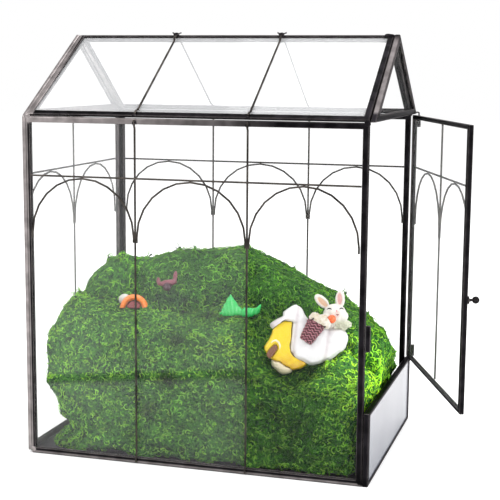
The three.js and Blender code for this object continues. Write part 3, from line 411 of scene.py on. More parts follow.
@dataclass(frozen=True)
class CurledMoss:
    """Preserved moss, dyed green: dry curls with a faint waxy sheen.

    The eye sees yellow-green tips over dark roots, each curl a little different, and whole
    tufts that took the dye more or less. The strand's own attributes say where it is along the
    curl (tip), how light it is (shade), which carries the tuft's tone with painted light and
    shade, and how yellow it is (yellow), which carries the dye with the yellower painted light.
    """

    name: str
    root: str
    body: str
    tip: str
    yellow_tip: str
    body_at: float = 0.3

    def material(self) -> bpy.types.Material:
        """Build the material.

        Returns:
            The finished material.
        """
        material = empty_material(self.name)
        tree = material.node_tree
        along, shade, yellow = (
            add_node(tree, "Attribute", {"attribute_name": key}).outputs["Fac"]
            for key in ("tip", "shade", "yellow")
        )
        green, gold = (
            add_node(
                tree,
                "ValToRGB",
                {"stops": [(0.0, self.root), (self.body_at, middle), (1.0, end)]},
                {"Fac": along},
            )
            for middle, end in ((self.body, self.tip), (self.tip, self.yellow_tip))
        )
        dyed = add_node(tree, "MixRGB", links={"Fac": yellow, "Color1": green, "Color2": gold})
        # The shade attribute brings in the painted light and shade
        lit = add_node(tree, "HueSaturation", links={"Value": shade, "Color": dyed})
        settings = {"Roughness": 0.7, "Specular IOR Level": 0.15}
        return finished(material, add_node(tree, "BsdfPrincipled", settings, {"Base Color": lit}))


@dataclass(frozen=True)
class MossGround:
    """The heap's inside: older stems, matted together, seen between the curls.

    The eye sees worm-like ridges in mid green over dark gaps; the dark between the ridges is
    painted shade. The shade attribute says how light each point is, with painted shade in the
    crevices and the painted light and shade of the patches.
    """

    name: str
    deep: str = "#17371d"
    stem: str = "#528f2d"
    stem_mm: float = 2.6
    stem_rise_mm: float = 0.7

    def material(self) -> bpy.types.Material:
        """Build the material.

        Returns:
            The finished material.
        """
        material = empty_material(self.name)
        tree = material.node_tree
        place = add_node(tree, "TexCoord").outputs["Object"]
        ridged = {"noise_type": "RIDGED_MULTIFRACTAL", "Distortion": 1.2, "Offset": 0.9, "Gain": 1.0}
        stems = add_node(tree, "TexNoise", ridged | blots(self.stem_mm, 1.0), {"Vector": place})
        ridges = add_node(tree, "MapRange", spanned((0.2, 1.6), (0, 1)), {"Value": stems})
        # The deep colour in the valleys between the ridges is painted shade between the stems
        stops = [(0.1, self.deep), (0.8, self.stem)]
        tone = add_node(tree, "ValToRGB", {"stops": stops}, {"Fac": ridges})
        # The shade attribute brings in painted light and shade
        shade = add_node(tree, "Attribute", {"attribute_name": "shade"}).outputs["Fac"]
        lit = add_node(tree, "HueSaturation", links={"Value": shade, "Color": tone})
        depth = {"Strength": 1.0, "Distance": self.stem_rise_mm * MM}
        bump = add_node(tree, "Bump", depth, {"Height": ridges})
        settings = {"Roughness": 0.9, "Specular IOR Level": 0.1}
        links = {"Base Color": lit, "Normal": bump}
        return finished(material, add_node(tree, "BsdfPrincipled", settings, links))


@dataclass(frozen=True)
class PaintedResin:
    """Cast polyester resin, hand painted and clear coated.

    The eye sees a soft, slightly wavy gloss, and paint that is darker in soft, cloudy blots. The
    paint attribute carries the hand-painted colours of a piece that has more than one.
    """

    name: str
    colour: str
    crease: str
    roughness: float = 0.3
    coat: float = 0.3
    painted: bool = False
    see_through: float = 0.0
    brush_mm: float = 3.2
    pore_mm: float = 0.8
    pore_depth_mm: float = 0.12

    def material(self) -> bpy.types.Material:
        """Build the material.

        Returns:
            The finished material.
        """
        material = empty_material(self.name)
        tree = material.node_tree
        place = add_node(tree, "TexCoord").outputs["Object"]
        brush = add_node(tree, "TexNoise", blots(self.brush_mm, 3.0), {"Vector": place})
        pores = add_node(tree, "TexNoise", blots(self.pore_mm, 2.0), {"Vector": place})
        uneven = add_node(tree, "MapRange", spanned((0.5, 0.8), (0, 0.45)), {"Value": brush})
        colours = {"Color1": linear(self.colour), "Color2": linear(self.crease)}
        mix = add_node(tree, "MixRGB", colours, {"Fac": uneven})
        if self.painted:
            paint = add_node(tree, "Attribute", {"attribute_name": "paint"}).outputs["Color"]
            multiply = {"blend_type": "MULTIPLY", "Fac": 1.0}
            mix = add_node(tree, "MixRGB", multiply, {"Color1": mix, "Color2": paint})
        depth = {"Strength": 0.18, "Distance": self.pore_depth_mm * MM}
        bump = add_node(tree, "Bump", depth, {"Height": pores})
        settings = {
            "Roughness": self.roughness,
            "Coat Weight": self.coat,
            "Coat Roughness": 0.12,
            "Transmission Weight": self.see_through,
            "IOR": 1.5,
        }
        links = {"Base Color": mix, "Normal": bump}
        return finished(material, add_node(tree, "BsdfPrincipled", settings, links))


@dataclass(frozen=True)
class BackedGlass:
    """The low pane under the door: glass with a pale backing.

    The eye sees a smooth grey-lilac sheet under a clear gloss. It is painted lighter upwards and
    to the back, a painted reflection of the bright room.
    """

    name: str
    low: str = "#676a74"
    high: str = "#a2a2a7"
    height_mm: float = 52.0
    half_depth_mm: float = 88.0
    cloud_mm: float = 70.0
    cloud_share: float = 0.35

    def material(self) -> bpy.types.Material:
        """Build the material.

        Returns:
            The finished material.
        """
        material = empty_material(self.name)
        tree = material.node_tree
        place = add_node(tree, "TexCoord").outputs["Object"]
        _, y, z = add_node(tree, "SeparateXYZ", links={"Vector": place}).outputs
        half_depth = self.half_depth_mm * MM
        # Painted reflection: lighter upwards and to the back
        upward = spanned((0, self.height_mm * MM), (0, 0.55))
        backward = spanned((-half_depth, half_depth), (0, 0.35))
        rise = add_node(tree, "MapRange", upward, {"Value": z})
        along = add_node(tree, "MapRange", backward, {"Value": y})
        clouds = add_node(tree, "TexNoise", blots(self.cloud_mm, 2.0), {"Vector": place})
        both = add_node(tree, "Math", {"operation": "ADD"}, {0: rise, 1: along})
        clouded = {"operation": "MULTIPLY_ADD", 1: self.cloud_share}
        wavy = add_node(tree, "Math", clouded, {0: clouds, 2: both})
        stops = [(0.15, self.low), (1.0, self.high)]
        tone = add_node(tree, "ValToRGB", {"stops": stops}, {"Fac": wavy})
        settings = {"Roughness": 0.12, "IOR": 1.5, "Specular IOR Level": 0.06}
        return finished(material, add_node(tree, "BsdfPrincipled", settings, {"Base Color": tone}))


# ---- mesh helpers -----------------------------------------------------------------------------


def seeded(word: str) -> np.random.Generator:
    """Make a random source of its own for a part of the work, the same on every run."""
    return np.random.default_rng([SEED, *word.encode()])


def unit(vectors: Array) -> Array:
    """Scale rows to length one."""
    return vectors / np.maximum(np.linalg.norm(vectors, axis=-1, keepdims=True), 1e-12)


def mesh_arrays(mesh: bpy.types.Mesh) -> tuple[Array, Array]:
    """Read a mesh's points and triangles.

    Args:
        mesh: the mesh to read.

    Returns:
        Points (n, 3) in metres and triangles (m, 3).
    """
    points = np.zeros(len(mesh.vertices) * 3, np.float32)
    mesh.vertices.foreach_get("co", points)
    mesh.calc_loop_triangles()
    triangles = np.zeros(len(mesh.loop_triangles) * 3, np.int32)
    mesh.loop_triangles.foreach_get("vertices", triangles)
    return points.reshape(-1, 3).astype(float), triangles.reshape(-1, 3)


def vertex_normals(mesh: bpy.types.Mesh) -> Array:
    """Read a mesh's point normals.

    Args:
        mesh: the mesh to read.

    Returns:
        Normals (n, 3).
    """
    normals = np.zeros(len(mesh.vertices) * 3, np.float32)
    mesh.vertex_normals.foreach_get("vector", normals)
    return normals.reshape(-1, 3).astype(float)


def make_piece(
    name: str,
    points: Array,
    faces: Array,
    material: bpy.types.Material,
    body: Body = Body.HOUSE,
    attributes: dict[str, Array] | None = None,
) -> bpy.types.Object:
    """Make a smooth-shaded piece that rides on a body.

    Args:
        name: the piece's name.
        points: points (n, 3) in metres.
        faces: point numbers (m, corners).
        material: its finish.
        body: the body that it rides on.
        attributes: numbers (n,) or colours (n, 3) for its points, by attribute name.

    Returns:
        The new object.
    """
    corners = faces.shape[1]
    mesh = bpy.data.meshes.new(name)
    mesh.vertices.add(len(points))
    mesh.vertices.foreach_set("co", points.astype(np.float32).ravel())
    mesh.loops.add(faces.size)
    mesh.loops.foreach_set("vertex_index", faces.astype(np.int32).ravel())
    mesh.polygons.add(len(faces))
    mesh.polygons.foreach_set("loop_start", np.arange(0, faces.size, corners, dtype=np.int32))
    mesh.polygons.foreach_set("use_smooth", np.ones(len(faces), bool))
    mesh.update(calc_edges=True)
    mesh.validate()
    for key, values in (attributes or {}).items():
        set_attribute(mesh, key, values)
    mesh.materials.append(material)
    piece = bpy.data.objects.new(name, mesh)
    bpy.context.scene.collection.objects.link(piece)
    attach(piece, body.value)
    return piece


def set_attribute(mesh: bpy.types.Mesh, key: str, values: Array) -> None:
    """Write one number or one colour for each point.

    Args:
        mesh: the mesh to write to.
        key: the attribute's name.
        values: numbers (n,) or linear colours (n, 3).
    """
    if values.ndim == 1:
        mesh.attributes.new(key, "FLOAT", "POINT").data.foreach_set("value", values.astype(np.float32))
        return
    colours = np.ones((len(values), 4), np.float32)
    colours[:, :3] = values
    mesh.attributes.new(key, "FLOAT_COLOR", "POINT").data.foreach_set("color", colours.ravel())


def tubes(paths: Array, radii: Array, axes: Array, sides: int) -> tuple[Array, Array]:
    """Sweep a thin many-sided tube along each path.

    Args:
        paths: points (n, steps, 3).
        radii: the tube's radius at each point (n, steps).
        axes: a direction across each path (n, 3).
        sides: sides of each tube.

    Returns:
        Points and four-cornered faces.
    """
    count, steps = paths.shape[:2]
    along = unit(np.gradient(paths, axis=1))
    across = unit(np.cross(along, axes[:, None, :]))
    other = np.cross(along, across)
    turns = np.arange(sides) * (2 * math.pi / sides)
    cosines, sines = np.cos(turns)[:, None], np.sin(turns)[:, None]
    ring = across[:, :, None, :] * cosines + other[:, :, None, :] * sines
    points = paths[:, :, None, :] + radii[:, :, None, None] * ring
    number = np.arange(count * steps * sides).reshape(count, steps, sides)
    nxt = np.roll(number, -1, axis=2)
    quads = np.stack([number[:, :-1], nxt[:, :-1], nxt[:, 1:], number[:, 1:]], axis=-1)
    return points.reshape(-1, 3), quads.reshape(-1, 4)


def evaluated_copy(
    source: bpy.types.Object, steps: Callable[[bpy.types.Object], None]
) -> bpy.types.Mesh:
    """Copy a node's mesh, run modifiers on the copy and keep the result.

    Args:
        source: the node whose mesh is copied.
        steps: adds the modifiers to the copy.

    Returns:
        The new mesh.
    """
    copy = bpy.data.objects.new("copy", source.data.copy())
    bpy.context.scene.collection.objects.link(copy)
    steps(copy)
    graph = bpy.context.evaluated_depsgraph_get()
    mesh = bpy.data.meshes.new_from_object(copy.evaluated_get(graph))
    bpy.data.objects.remove(copy)
    return mesh


def wrinkles(points: Array, size: float, seed: str, waves: int = 14) -> Array:
    """Make smooth noise of waves in random directions.

    Args:
        points: points (n, 3).
        size: the usual distance between crests, in the points' unit.
        seed: the word for its random source.
        waves: how many waves are added.

    Returns:
        Numbers (n,), mostly from -1 to 1.
    """
    source = seeded(seed)
    directions = unit(source.normal(size=(waves, 3)))
    rates = 2 * math.pi / (size * source.uniform(0.7, 1.5, waves))
    starts = source.uniform(0, 2 * math.pi, waves)
    return np.sin(points @ (directions * rates[:, None]).T + starts).sum(axis=1) / math.sqrt(waves)


def ramp(values: Array, low: float, high: float) -> Array:
    """Rise smoothly from 0 at low to 1 at high."""
    share = np.clip((values - low) / (high - low), 0, 1)
    return share * share * (3 - 2 * share)


# ---- the casework -----------------------------------------------------------------------------


@dataclass
class Casework:
    """The metal strips, wires, plate and panes. They are right as modelled and get finishes."""

    bead_radius_mm: float = 2.2
    bead_flatness: float = 0.55
    bead_unevenness: float = 0.12
    bead_in_mm: Span = (1.6, 0.6)  # from the corner, across and along the depth
    half_width_mm: float = 125.0
    half_depth_mm: float = 88.65
    eave_mm: float = 249.7
    ridge_mm: float = 309.7
    foot_mm: float = 3.0
    wire_x_mm: float = 41.2
    wire_out_mm: float = 0.7
    knot_over_eave_mm: float = 1.9
    knot_half_mm: Point = (1.7, 1.0, 1.2)
    drip_under_eave_mm: float = 3.2
    drip_half_mm: Point = (1.5, 0.9, 1.5)
    ridge_end_in_mm: float = 3.5
    ridge_end_y_mm: float = -1.4
    ridge_end_down_mm: float = 1.3
    ridge_end_half_mm: Point = (4.2, 1.5, 1.8)

    def build(self) -> None:
        """Give each node its finish, and add the solder at the corners."""
        # Painted highlight in the strip finishes: lighter edges, and on front, roof and gables a
        # lighter left post, upper rail, foot and gable front, partly patina rubbed thin
        came = PatinaMetal("patina_came").material()
        front = PatinaMetal(
            "patina_front", rubbed_highlight_post=0.6, rubbed_highlight_rail=0.7, rubbed_highlight_foot=0.4
        ).material()
        roof = PatinaMetal(
            "patina_roof", edge_share=0.32, rubbed_highlight_post=0.62, post_mm=6.0
        ).material()
        left_gable = PatinaMetal(
            "patina_left_gable", edge_share_left=0.9, rubbed_highlight_all=0.6, rubbed_highlight_post=0.6
        ).material()
        right_gable = PatinaMetal("patina_right_gable", edge_share=0.5, rubbed_highlight_front=0.22).material()
        wire = PatinaMetal(
            "patina_wire", dark="#292624", cloud="#46413d", edge_mm=0.2, edge_share=0.1
        ).material()
        finishes = {
            "base_plate": SheetSteel("painted_sheet").material(),
            "front_frame": front,
            "left_frame": front,
            "gable_left_frame": left_gable,
            "gable_right_frame": right_gable,
        }
        panes = self.panes()
        for name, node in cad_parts.items():
            if name.endswith("_glass"):
                self.dress(node, panes.get(name, panes["other"]))
            elif "lattice" in name or "wire" in name:
                self.dress(node, wire)
            elif name.startswith("roof"):
                self.dress(node, roof)
            elif name in finishes:
                self.dress(node, finishes[name])
            elif self.is_metal(name):
                self.dress(node, came)
        self.add_solder(came, left_gable)
        LOG.info("casework: finishes on the metal and the panes, solder at the corners")

    @staticmethod
    def is_metal(name: str) -> bool:
        """Say whether a node is a strip, a knot, a hinge part, the knob or the catch."""
        words = ("frame", "knot", "knob", "knuckle", "pin", "catch")
        return any(word in name.split("_") for word in words)

    @staticmethod
    def dress(node: bpy.types.Object, material: bpy.types.Material) -> None:
        """Put a finish in every material slot of a node."""
        for slot in node.material_slots:
            slot.material = material

    @staticmethod
    def panes() -> dict[str, bpy.types.Material]:
        """Make the finishes of the panes.

        Returns:
            Materials by node name, and one for the other panes.
        """
        return {
            # The front pane's film over the left bays is a painted reflection of a softbox
            "front_glass": FloatGlass(
                "glass_front", reflection_film=0.006, reflection_film_strength=0.027, reflection_film_clear_mm=43.0, reflection_film_edge_mm=38.0
            ).material(),
            "low_glass": BackedGlass("glass_low").material(),
            # The roof pane's whitish film is a painted reflection of the bright room
            "roof_front_glass": FloatGlass("glass_roof_front", reflection_film=0.24).material(),
            "door_glass": FloatGlass("glass_door", grazing=0.12).material(),
            "left_glass": FloatGlass("glass_left", reflection_film=0.02).material(),
            "gable_right_glass": FloatGlass("glass_gable", reflection_film=0.004, grazing=0.02).material(),
            "other": FloatGlass("glass_other").material(),
        }

    def solder(self) -> list[tuple[Point, Point]]:
        """List the beads of solder where strips or wires meet.

        Returns:
            Their middles and half-sizes in millimetres.
        """
        beads = []
        corner = (self.bead_radius_mm, self.bead_radius_mm * self.bead_flatness, self.bead_radius_mm)
        for side in (-1, 1):
            for depth in (-1, 1):
                x = side * (self.half_width_mm - self.bead_in_mm[0])
                y = depth * (self.half_depth_mm - self.bead_in_mm[1])
                beads.append(((x, y, self.eave_mm), corner))
                beads.append(((x, y, self.foot_mm), corner))
            x, y = side * self.wire_x_mm, -self.half_depth_mm - self.wire_out_mm
            beads.append(((x, y, self.eave_mm + self.knot_over_eave_mm), self.knot_half_mm))
            beads.append(((x, y, self.eave_mm - self.drip_under_eave_mm), self.drip_half_mm))
        x, z = self.half_width_mm - self.ridge_end_in_mm, self.ridge_mm - self.ridge_end_down_mm
        beads.append(((x, self.ridge_end_y_mm, z), self.ridge_end_half_mm))
        return beads

    def add_solder(self, dark: bpy.types.Material, rubbed_highlight: bpy.types.Material) -> None:
        """Add the beads of solder.

        Args:
            dark: the patina finish.
            rubbed_highlight: the finish of the left end, with painted highlight over thin patina.
        """
        points, faces = ball(around=24, down=16)
        for index, (place, size) in enumerate(self.solder()):
            # Beads at the left take the finish with the painted highlight
            material = dark if place[0] > -self.half_width_mm / 2 else rubbed_highlight
            uneven = (1 + self.bead_unevenness * wrinkles(points, 1.1, f"bead{index}"))[:, None]
            bead = (points * uneven * np.array(size) + np.array(place)) * MM
            make_piece(f"solder_bead_{index + 1}", bead, faces, material)


def ball(around: int, down: int) -> tuple[Array, Array]:
    """Make a ball of four-cornered faces with radius one.

    Args:
        around: points around it.
        down: rows from pole to pole.

    Returns:
        Points and faces.
    """
    pole = 0.0001  # keeps the rows at the poles from closing to a point
    rows = np.linspace(pole, math.pi - pole, down + 1)
    turns = np.arange(around) * (2 * math.pi / around)
    tilt, turn = np.meshgrid(rows, turns, indexing="ij")
    x, y = np.sin(tilt) * np.cos(turn), np.sin(tilt) * np.sin(turn)
    points = np.stack([x, y, np.cos(tilt)], axis=-1)
    number = np.arange((down + 1) * around).reshape(down + 1, around)
    nxt = np.roll(number, -1, axis=1)
    quads = np.stack([number[:-1], number[1:], nxt[1:], nxt[:-1]], axis=-1)
    return points.reshape(-1, 3), quads.reshape(-1, 4)


# ---- the moss ---------------------------------------------------------------------------------


@dataclass(frozen=True)
class CurlRule:
    """How the curls of one heap grow. Lengths are in millimetres, angles in degrees."""

    node: str
    slot: str
    count: int
    length: Span
    radius: Span
    curl: Span
    lean: Point
    lean_share: float
    rise: float
    loop_in: float
    highest: float


@dataclass(frozen=True)
class MossPatch:
    """A patch of painted light or painted shade on the moss; a lit patch may be painted yellower too.
    Lengths are in millimetres.
    """

    place: Point
    reach: float
    light: float
    yellow: float = 0.0

    def share(self, places: Array) -> Array:
        """Say how much of the patch there is at each place."""
        far = np.linalg.norm(places / MM - np.array(self.place), axis=1) / self.reach
        return np.exp(-(far**2))


@dataclass
class MossBed:
    """The heap of preserved moss: a matted inside, and tens of thousands of curled strands.

    Each strand is rooted on the surface of the modelled heap, so the heap keeps its form.
    """

    rules: Sequence[CurlRule] = (
        CurlRule(
            node="moss_front_cushion",
            slot="moss_front",
            count=46000,
            length=(5.5, 10),
            radius=(0.32, 0.48),
            curl=(200, 460),
            lean=(0, 0, 1),
            lean_share=0.1,
            rise=0.5,
            loop_in=0.35,
            highest=2.0,
        ),
        CurlRule(
            node="moss_back_hill",
            slot="moss_back",
            count=32000,
            length=(5.5, 10),
            radius=(0.32, 0.46),
            curl=(140, 400),
            lean=(0.5, -0.1, 1),
            lean_share=0.3,
            rise=0.6,
            loop_in=0.3,
            highest=1.8,
        ),
    )
    # Painted light and shade: lighter, yellower patches where the light falls on the open end, right
    # of the rabbit, the left end and the hill's left top; darker patches are painted shade low on the
    # front and in crevices
    patches: Sequence[MossPatch] = (
        MossPatch(place=(22, -62, 86), reach=13, light=0.15, yellow=0.7),
        MossPatch(place=(103, -40, 78), reach=20, light=1.1, yellow=0.8),
        MossPatch(place=(90, -72, 67), reach=10, light=0.3, yellow=0.5),
        MossPatch(place=(124, -10, 62), reach=36, light=1.1, yellow=0.8),
        MossPatch(place=(121, -52, 55), reach=24, light=0.9, yellow=0.7),
        MossPatch(place=(75, -86, 34), reach=48, light=-0.52),
        MossPatch(place=(-15, -84, 30), reach=36, light=-0.1),
        MossPatch(place=(-110, -60, 75), reach=48, light=0.32, yellow=0.1),
        MossPatch(place=(-88, 0, 128), reach=34, light=0.3, yellow=0.1),
        MossPatch(place=(-15, -76, 91), reach=7, light=-0.75),
        MossPatch(place=(-21, -84, 61), reach=6.5, light=-0.75),
        MossPatch(place=(-2, -42, 102), reach=8, light=-0.6),
        MossPatch(place=(-19, -35, 103), reach=6, light=-0.6),
        MossPatch(place=(-68, -12, 124), reach=9, light=-0.4),
        MossPatch(place=(-34, -84, 39), reach=9, light=-0.35),
    )
    # the ground
    smoothing: int = 28
    soft_from_mm: Span = (50.0, 80.0)
    under_mm: float = 1.1
    waves_mm: Sequence[Span] = ((0.5, 5.0), (0.6, 15.0))  # height and length
    crevice_mm: float = 10.0
    crevice_span: Span = (0.8, 1.5)
    gap_mm: float = 1.8
    # Painted shade in the crevices: gap_shade darkens them, gap_tip_share holds the curls' colour
    # towards the dark root
    gap_shade: float = 0.6
    gap_tip_share: float = 0.7
    bulge_left_mm: Span = (2.0, 5.0)  # at the foot, and how much more higher up
    bulge_left_x_mm: Span = (-75.0, -112.0)
    bulge_left_z_mm: Span = (30.0, 70.0)
    bulge_right_mm: float = 3.5
    bulge_right_x_mm: Span = (90.0, 120.0)
    bulge_right_z_mm: Span = (58.0, 66.0)
    behind_curls_mm: float = 0.4
    peaks: Sequence[Point] = ((-89, 6.5, 144.7), (-52.4, 17.5, 151.4), (-99.3, -38.7, 117.2))
    peak_reach_mm: float = 13.0
    peak_core_mm: float = 1.0
    peak_drop_mm: float = 2.6
    # the curls
    steps: int = 6
    sides: int = 3
    bays: int = 9
    half_width_mm: float = 125.0
    sink_mm: float = 1.2
    steepest: float = -0.6  # no roots where the surface faces further down than this
    lowest_root_mm: float = 3.0
    tuft_mm: float = 7.0
    tuft_kinds: int = 4096
    tuft_mixer: tuple[int, int, int] = (73, 1019, 4241)
    tuft_raggedness: float = 0.35
    tuft_wave_mm: float = 11.0
    tuft_share: float = 0.6
    own_share: float = 0.7
    stray: float = 0.4
    drift: float = 0.25
    tightening: float = 1.25
    end_radius_share: float = 0.5
    height_spread: Span = (0.5, 1.2)
    shade_spread: Span = (0.7, 1.28)
    yellow_spread: float = 0.12
    # how the dye took
    light: float = 0.92
    tuft_light: float = 0.3
    mottles: Sequence[tuple[float, float, str]] = ((0.1, 22.0, "mottle"), (0.09, 9.0, "clump"))
    light_limits: Span = (0.12, 2.1)
    tuft_yellow: float = 0.4
    # what the curls keep clear of
    clear_mm: float = 0.7
    clear_of_small_mm: float = 2.6
    pane_y_mm: float = 85.2
    left_x_mm: float = -124.6
    right_x_mm: float = 125.6
    low_right_x_mm: float = 124.8
    low_rail_mm: float = 56.0
    floor_mm: float = 2.0
    # the fold along the front
    fold_z_mm: float = 57.4
    fold_from_x_mm: float = -110.0
    fold_slope: float = 0.104
    fold_half_mm: float = 2.6
    fold_front_y_mm: Span = (-62.0, -70.0)
    fold_end_x_mm: Span = (41.0, 36.0)
    fold_shadow_mm: float = -5.0
    fold_shade: float = 0.45
    # Painted highlight: the fold's crest is painted yellower over its painted shadow
    fold_yellow: float = 0.45
    keep_out: list[tuple[BVHTree, float]] = field(default_factory=list)

    def build(self, ornaments: Iterable[str]) -> None:
        """Grow both heaps.

        Args:
            ornaments: nodes that the curls keep clear of.
        """
        ground = MossGround("moss_ground").material()
        front = CurledMoss("moss_curls_front", "#143820", "#5fa32f", "#8cc83c", "#b9dd2c")
        back = CurledMoss("moss_curls_back", "#12341a", "#559e28", "#80c038", "#aed82c")
        curls = {"moss_front": front.material(), "moss_back": back.material()}
        for name in ornaments:
            points, triangles = mesh_arrays(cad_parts[name].data)
            tree = BVHTree.FromPolygons(points.tolist(), triangles.tolist())
            clear = self.clear_of_small_mm if name.startswith("orange") else self.clear_mm
            self.keep_out.append((tree, clear * MM))
        for rule in self.rules:
            surface = self.add_ground(rule, ground)
            total = self.add_curls(rule, surface, curls[rule.slot])
            LOG.info("%s: %d curls", rule.node, total)

    def add_ground(
        self, rule: CurlRule, material: bpy.types.Material
    ) -> tuple[Array, Array, Array]:
        """Add the matted inside of a heap in place of its node.

        Args:
            rule: the heap's rule.
            material: its finish.

        Returns:
            Its points, triangles and point normals, for the curls to grow on.
        """

        def finer(copy: bpy.types.Object) -> None:
            """Join the split points and divide each face."""
            copy.modifiers.new("joined", "WELD").merge_threshold = MM / 1000
            copy.modifiers.new("finer", "SUBSURF").levels = 1

        def softer(copy: bpy.types.Object) -> None:
            """Divide each face and smooth the whole."""
            finer(copy)
            copy.modifiers.new("soft", "SMOOTH").iterations = self.smoothing

        crisp = evaluated_copy(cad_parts[rule.node], finer)
        soft = evaluated_copy(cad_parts[rule.node], softer)
        points, triangles = mesh_arrays(crisp)
        high = ramp(points[:, 2] / MM, *self.soft_from_mm)[:, None]
        points = points + high * (mesh_arrays(soft)[0] - points)
        normals = vertex_normals(crisp)
        normals = unit(normals + high * (vertex_normals(soft) - normals))
        for mesh in (crisp, soft):
            bpy.data.meshes.remove(mesh)
        deep = self.crevices(points)
        rise = -self.under_mm
        for (height_mm, length_mm), seed in zip(self.waves_mm, (rule.node, rule.slot)):
            rise = rise + height_mm * wrinkles(points / MM, length_mm, seed)
        points = self.swell(points + normals * ((rise - self.gap_mm * deep) * MM)[:, None])
        # Painted shade in the crevices, with the painted light and shade of the patches
        shade = self.lightness(points, np.full(len(points), 0.5)) * (1 - self.gap_shade * deep)
        piece = make_piece(
            rule.slot + "_ground", points, triangles, material, attributes={"shade": shade}
        )
        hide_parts(rule.node)
        return points, triangles, normals

    def swell(self, points: Array) -> Array:
        """Let the heap bulge towards both ends, press its peaks down, and hold it off the door.

        Args:
            points: points in metres.

        Returns:
            The moved points.
        """
        x, _, z = (points / MM).T
        foot, more = self.bulge_left_mm
        left = (foot + more * ramp(z, *self.bulge_left_z_mm)) * ramp(x, *self.bulge_left_x_mm)
        right = self.bulge_right_mm * ramp(x, *self.bulge_right_x_mm)
        right = right * ramp(z, *self.bulge_right_z_mm)
        moved = points.copy()
        moved[:, 0] += (right - left) * MM
        for peak in self.peaks:
            away = np.linalg.norm(points / MM - np.array(peak), axis=1)
            pressed = ramp(away, self.peak_reach_mm, self.peak_core_mm)
            moved[:, 2] -= self.peak_drop_mm * MM * pressed
        moved[:, 0] = np.minimum(moved[:, 0], (self.right_x_mm - self.behind_curls_mm) * MM)
        return moved

    def roots(self, rule: CurlRule, surface: tuple[Array, Array, Array]) -> tuple[Array, Array]:
        """Choose where the curls grow.

        Args:
            rule: the heap's rule.
            surface: the heap's points, triangles and point normals.

        Returns:
            Places and outward directions (n, 3), in metres.
        """
        source = seeded(rule.node + "_roots")
        points, triangles, normals = surface
        corners = points[triangles]
        cross = np.cross(corners[:, 1] - corners[:, 0], corners[:, 2] - corners[:, 0])
        area = np.linalg.norm(cross, axis=1)
        high_enough = corners[:, :, 2].mean(axis=1) > self.lowest_root_mm * MM
        area = area * (unit(cross)[:, 2] > self.steepest) * high_enough
        chosen = source.choice(len(triangles), rule.count, p=area / area.sum())
        shares = source.dirichlet((1, 1, 1), rule.count)[:, :, None]
        places = (corners[chosen] * shares).sum(axis=1)
        outward = unit((normals[triangles[chosen]] * shares).sum(axis=1))
        return self.away_from_ornaments(places, outward)

    def away_from_ornaments(self, places: Array, outward: Array) -> tuple[Array, Array]:
        """Leave out the roots that touch an ornament.

        Args:
            places: roots (n, 3).
            outward: their directions.

        Returns:
            The roots that stay, and their directions.
        """
        keep = [
            all(tree.find_nearest(Vector(place), reach)[0] is None for tree, reach in self.keep_out)
            for place in places
        ]
        return places[keep], outward[keep]

    def paths(
        self, rule: CurlRule, places: Array, outward: Array, tuft: Array
    ) -> tuple[Array, Array]:
        """Lay out the curls: each leaves its root, coils over the heap and turns back in.

        Args:
            rule: the heap's rule.
            places: roots (n, 3).
            outward: their directions.
            tuft: the direction that each curl's tuft leans to (n, 3).

        Returns:
            The curls' points (n, steps, 3), and a direction across each.
        """
        count = len(places)
        source = seeded(rule.node + "_paths")
        wild = self.tuft_share * tuft + self.own_share * unit(source.normal(size=(count, 3)))
        along = unit(np.array([rule.lean], float)) * rule.lean_share + wild
        along = unit(along - outward * (along * outward).sum(axis=1, keepdims=True))
        across = np.cross(outward, along) * source.choice((-1.0, 1.0), count)[:, None]
        start = unit(outward * rule.rise + along)
        astray = self.stray * unit(source.normal(size=(count, 3)))
        towards = across - outward * rule.loop_in + astray
        side = unit(towards - start * (towards * start).sum(axis=1, keepdims=True))
        axis = np.cross(start, side)
        length = source.uniform(*rule.length, count) * MM
        turn = np.radians(source.uniform(*rule.curl, count))
        drift = source.normal(size=(count, 1)) * self.drift
        path = np.zeros((count, self.steps, 3))
        path[:, 0] = places - outward * self.sink_mm * MM
        for step in range(1, self.steps):
            angle = (turn * (step / (self.steps - 1)) ** self.tightening)[:, None]
            heading = unit(start * np.cos(angle) + side * np.sin(angle) + axis * drift)
            path[:, step] = path[:, step - 1] + heading * (length / (self.steps - 1))[:, None]
        over = ((path - places[:, None]) * outward[:, None]).sum(axis=2)
        highest = (rule.highest * MM * source.uniform(*self.height_spread, count))[:, None]
        lower = np.where(over > 0, over - highest * np.tanh(over / highest), 0)
        return self.inside(path - outward[:, None] * lower[:, :, None]), axis

    def add_curls(
        self, rule: CurlRule, surface: tuple[Array, Array, Array], material: bpy.types.Material
    ) -> int:
        """Grow the curls of one heap, in one piece for each bay.

        Args:
            rule: the heap's rule.
            surface: the heap's points, triangles and point normals.
            material: its finish.

        Returns:
            How many curls were grown.
        """
        places, outward = self.roots(rule, surface)
        count = len(places)
        source = seeded(rule.node + "_curls")
        tufts = unit(source.normal(size=(self.tuft_kinds, 3)))
        tones = source.uniform(0, 1, size=(self.tuft_kinds, 2))
        ragged = self.tuft_raggedness * wrinkles(places / MM, self.tuft_wave_mm, "cells")[:, None]
        cells = np.floor(places / (self.tuft_mm * MM) + ragged)
        tuft = (cells @ np.array(self.tuft_mixer)).astype(np.int64) % self.tuft_kinds
        path, axis = self.paths(rule, places, outward, tufts[tuft])
        taper = np.linspace(1.0, self.end_radius_share, self.steps)
        radius = source.uniform(*rule.radius, count)[:, None] * MM * taper
        deep = self.crevices(places)
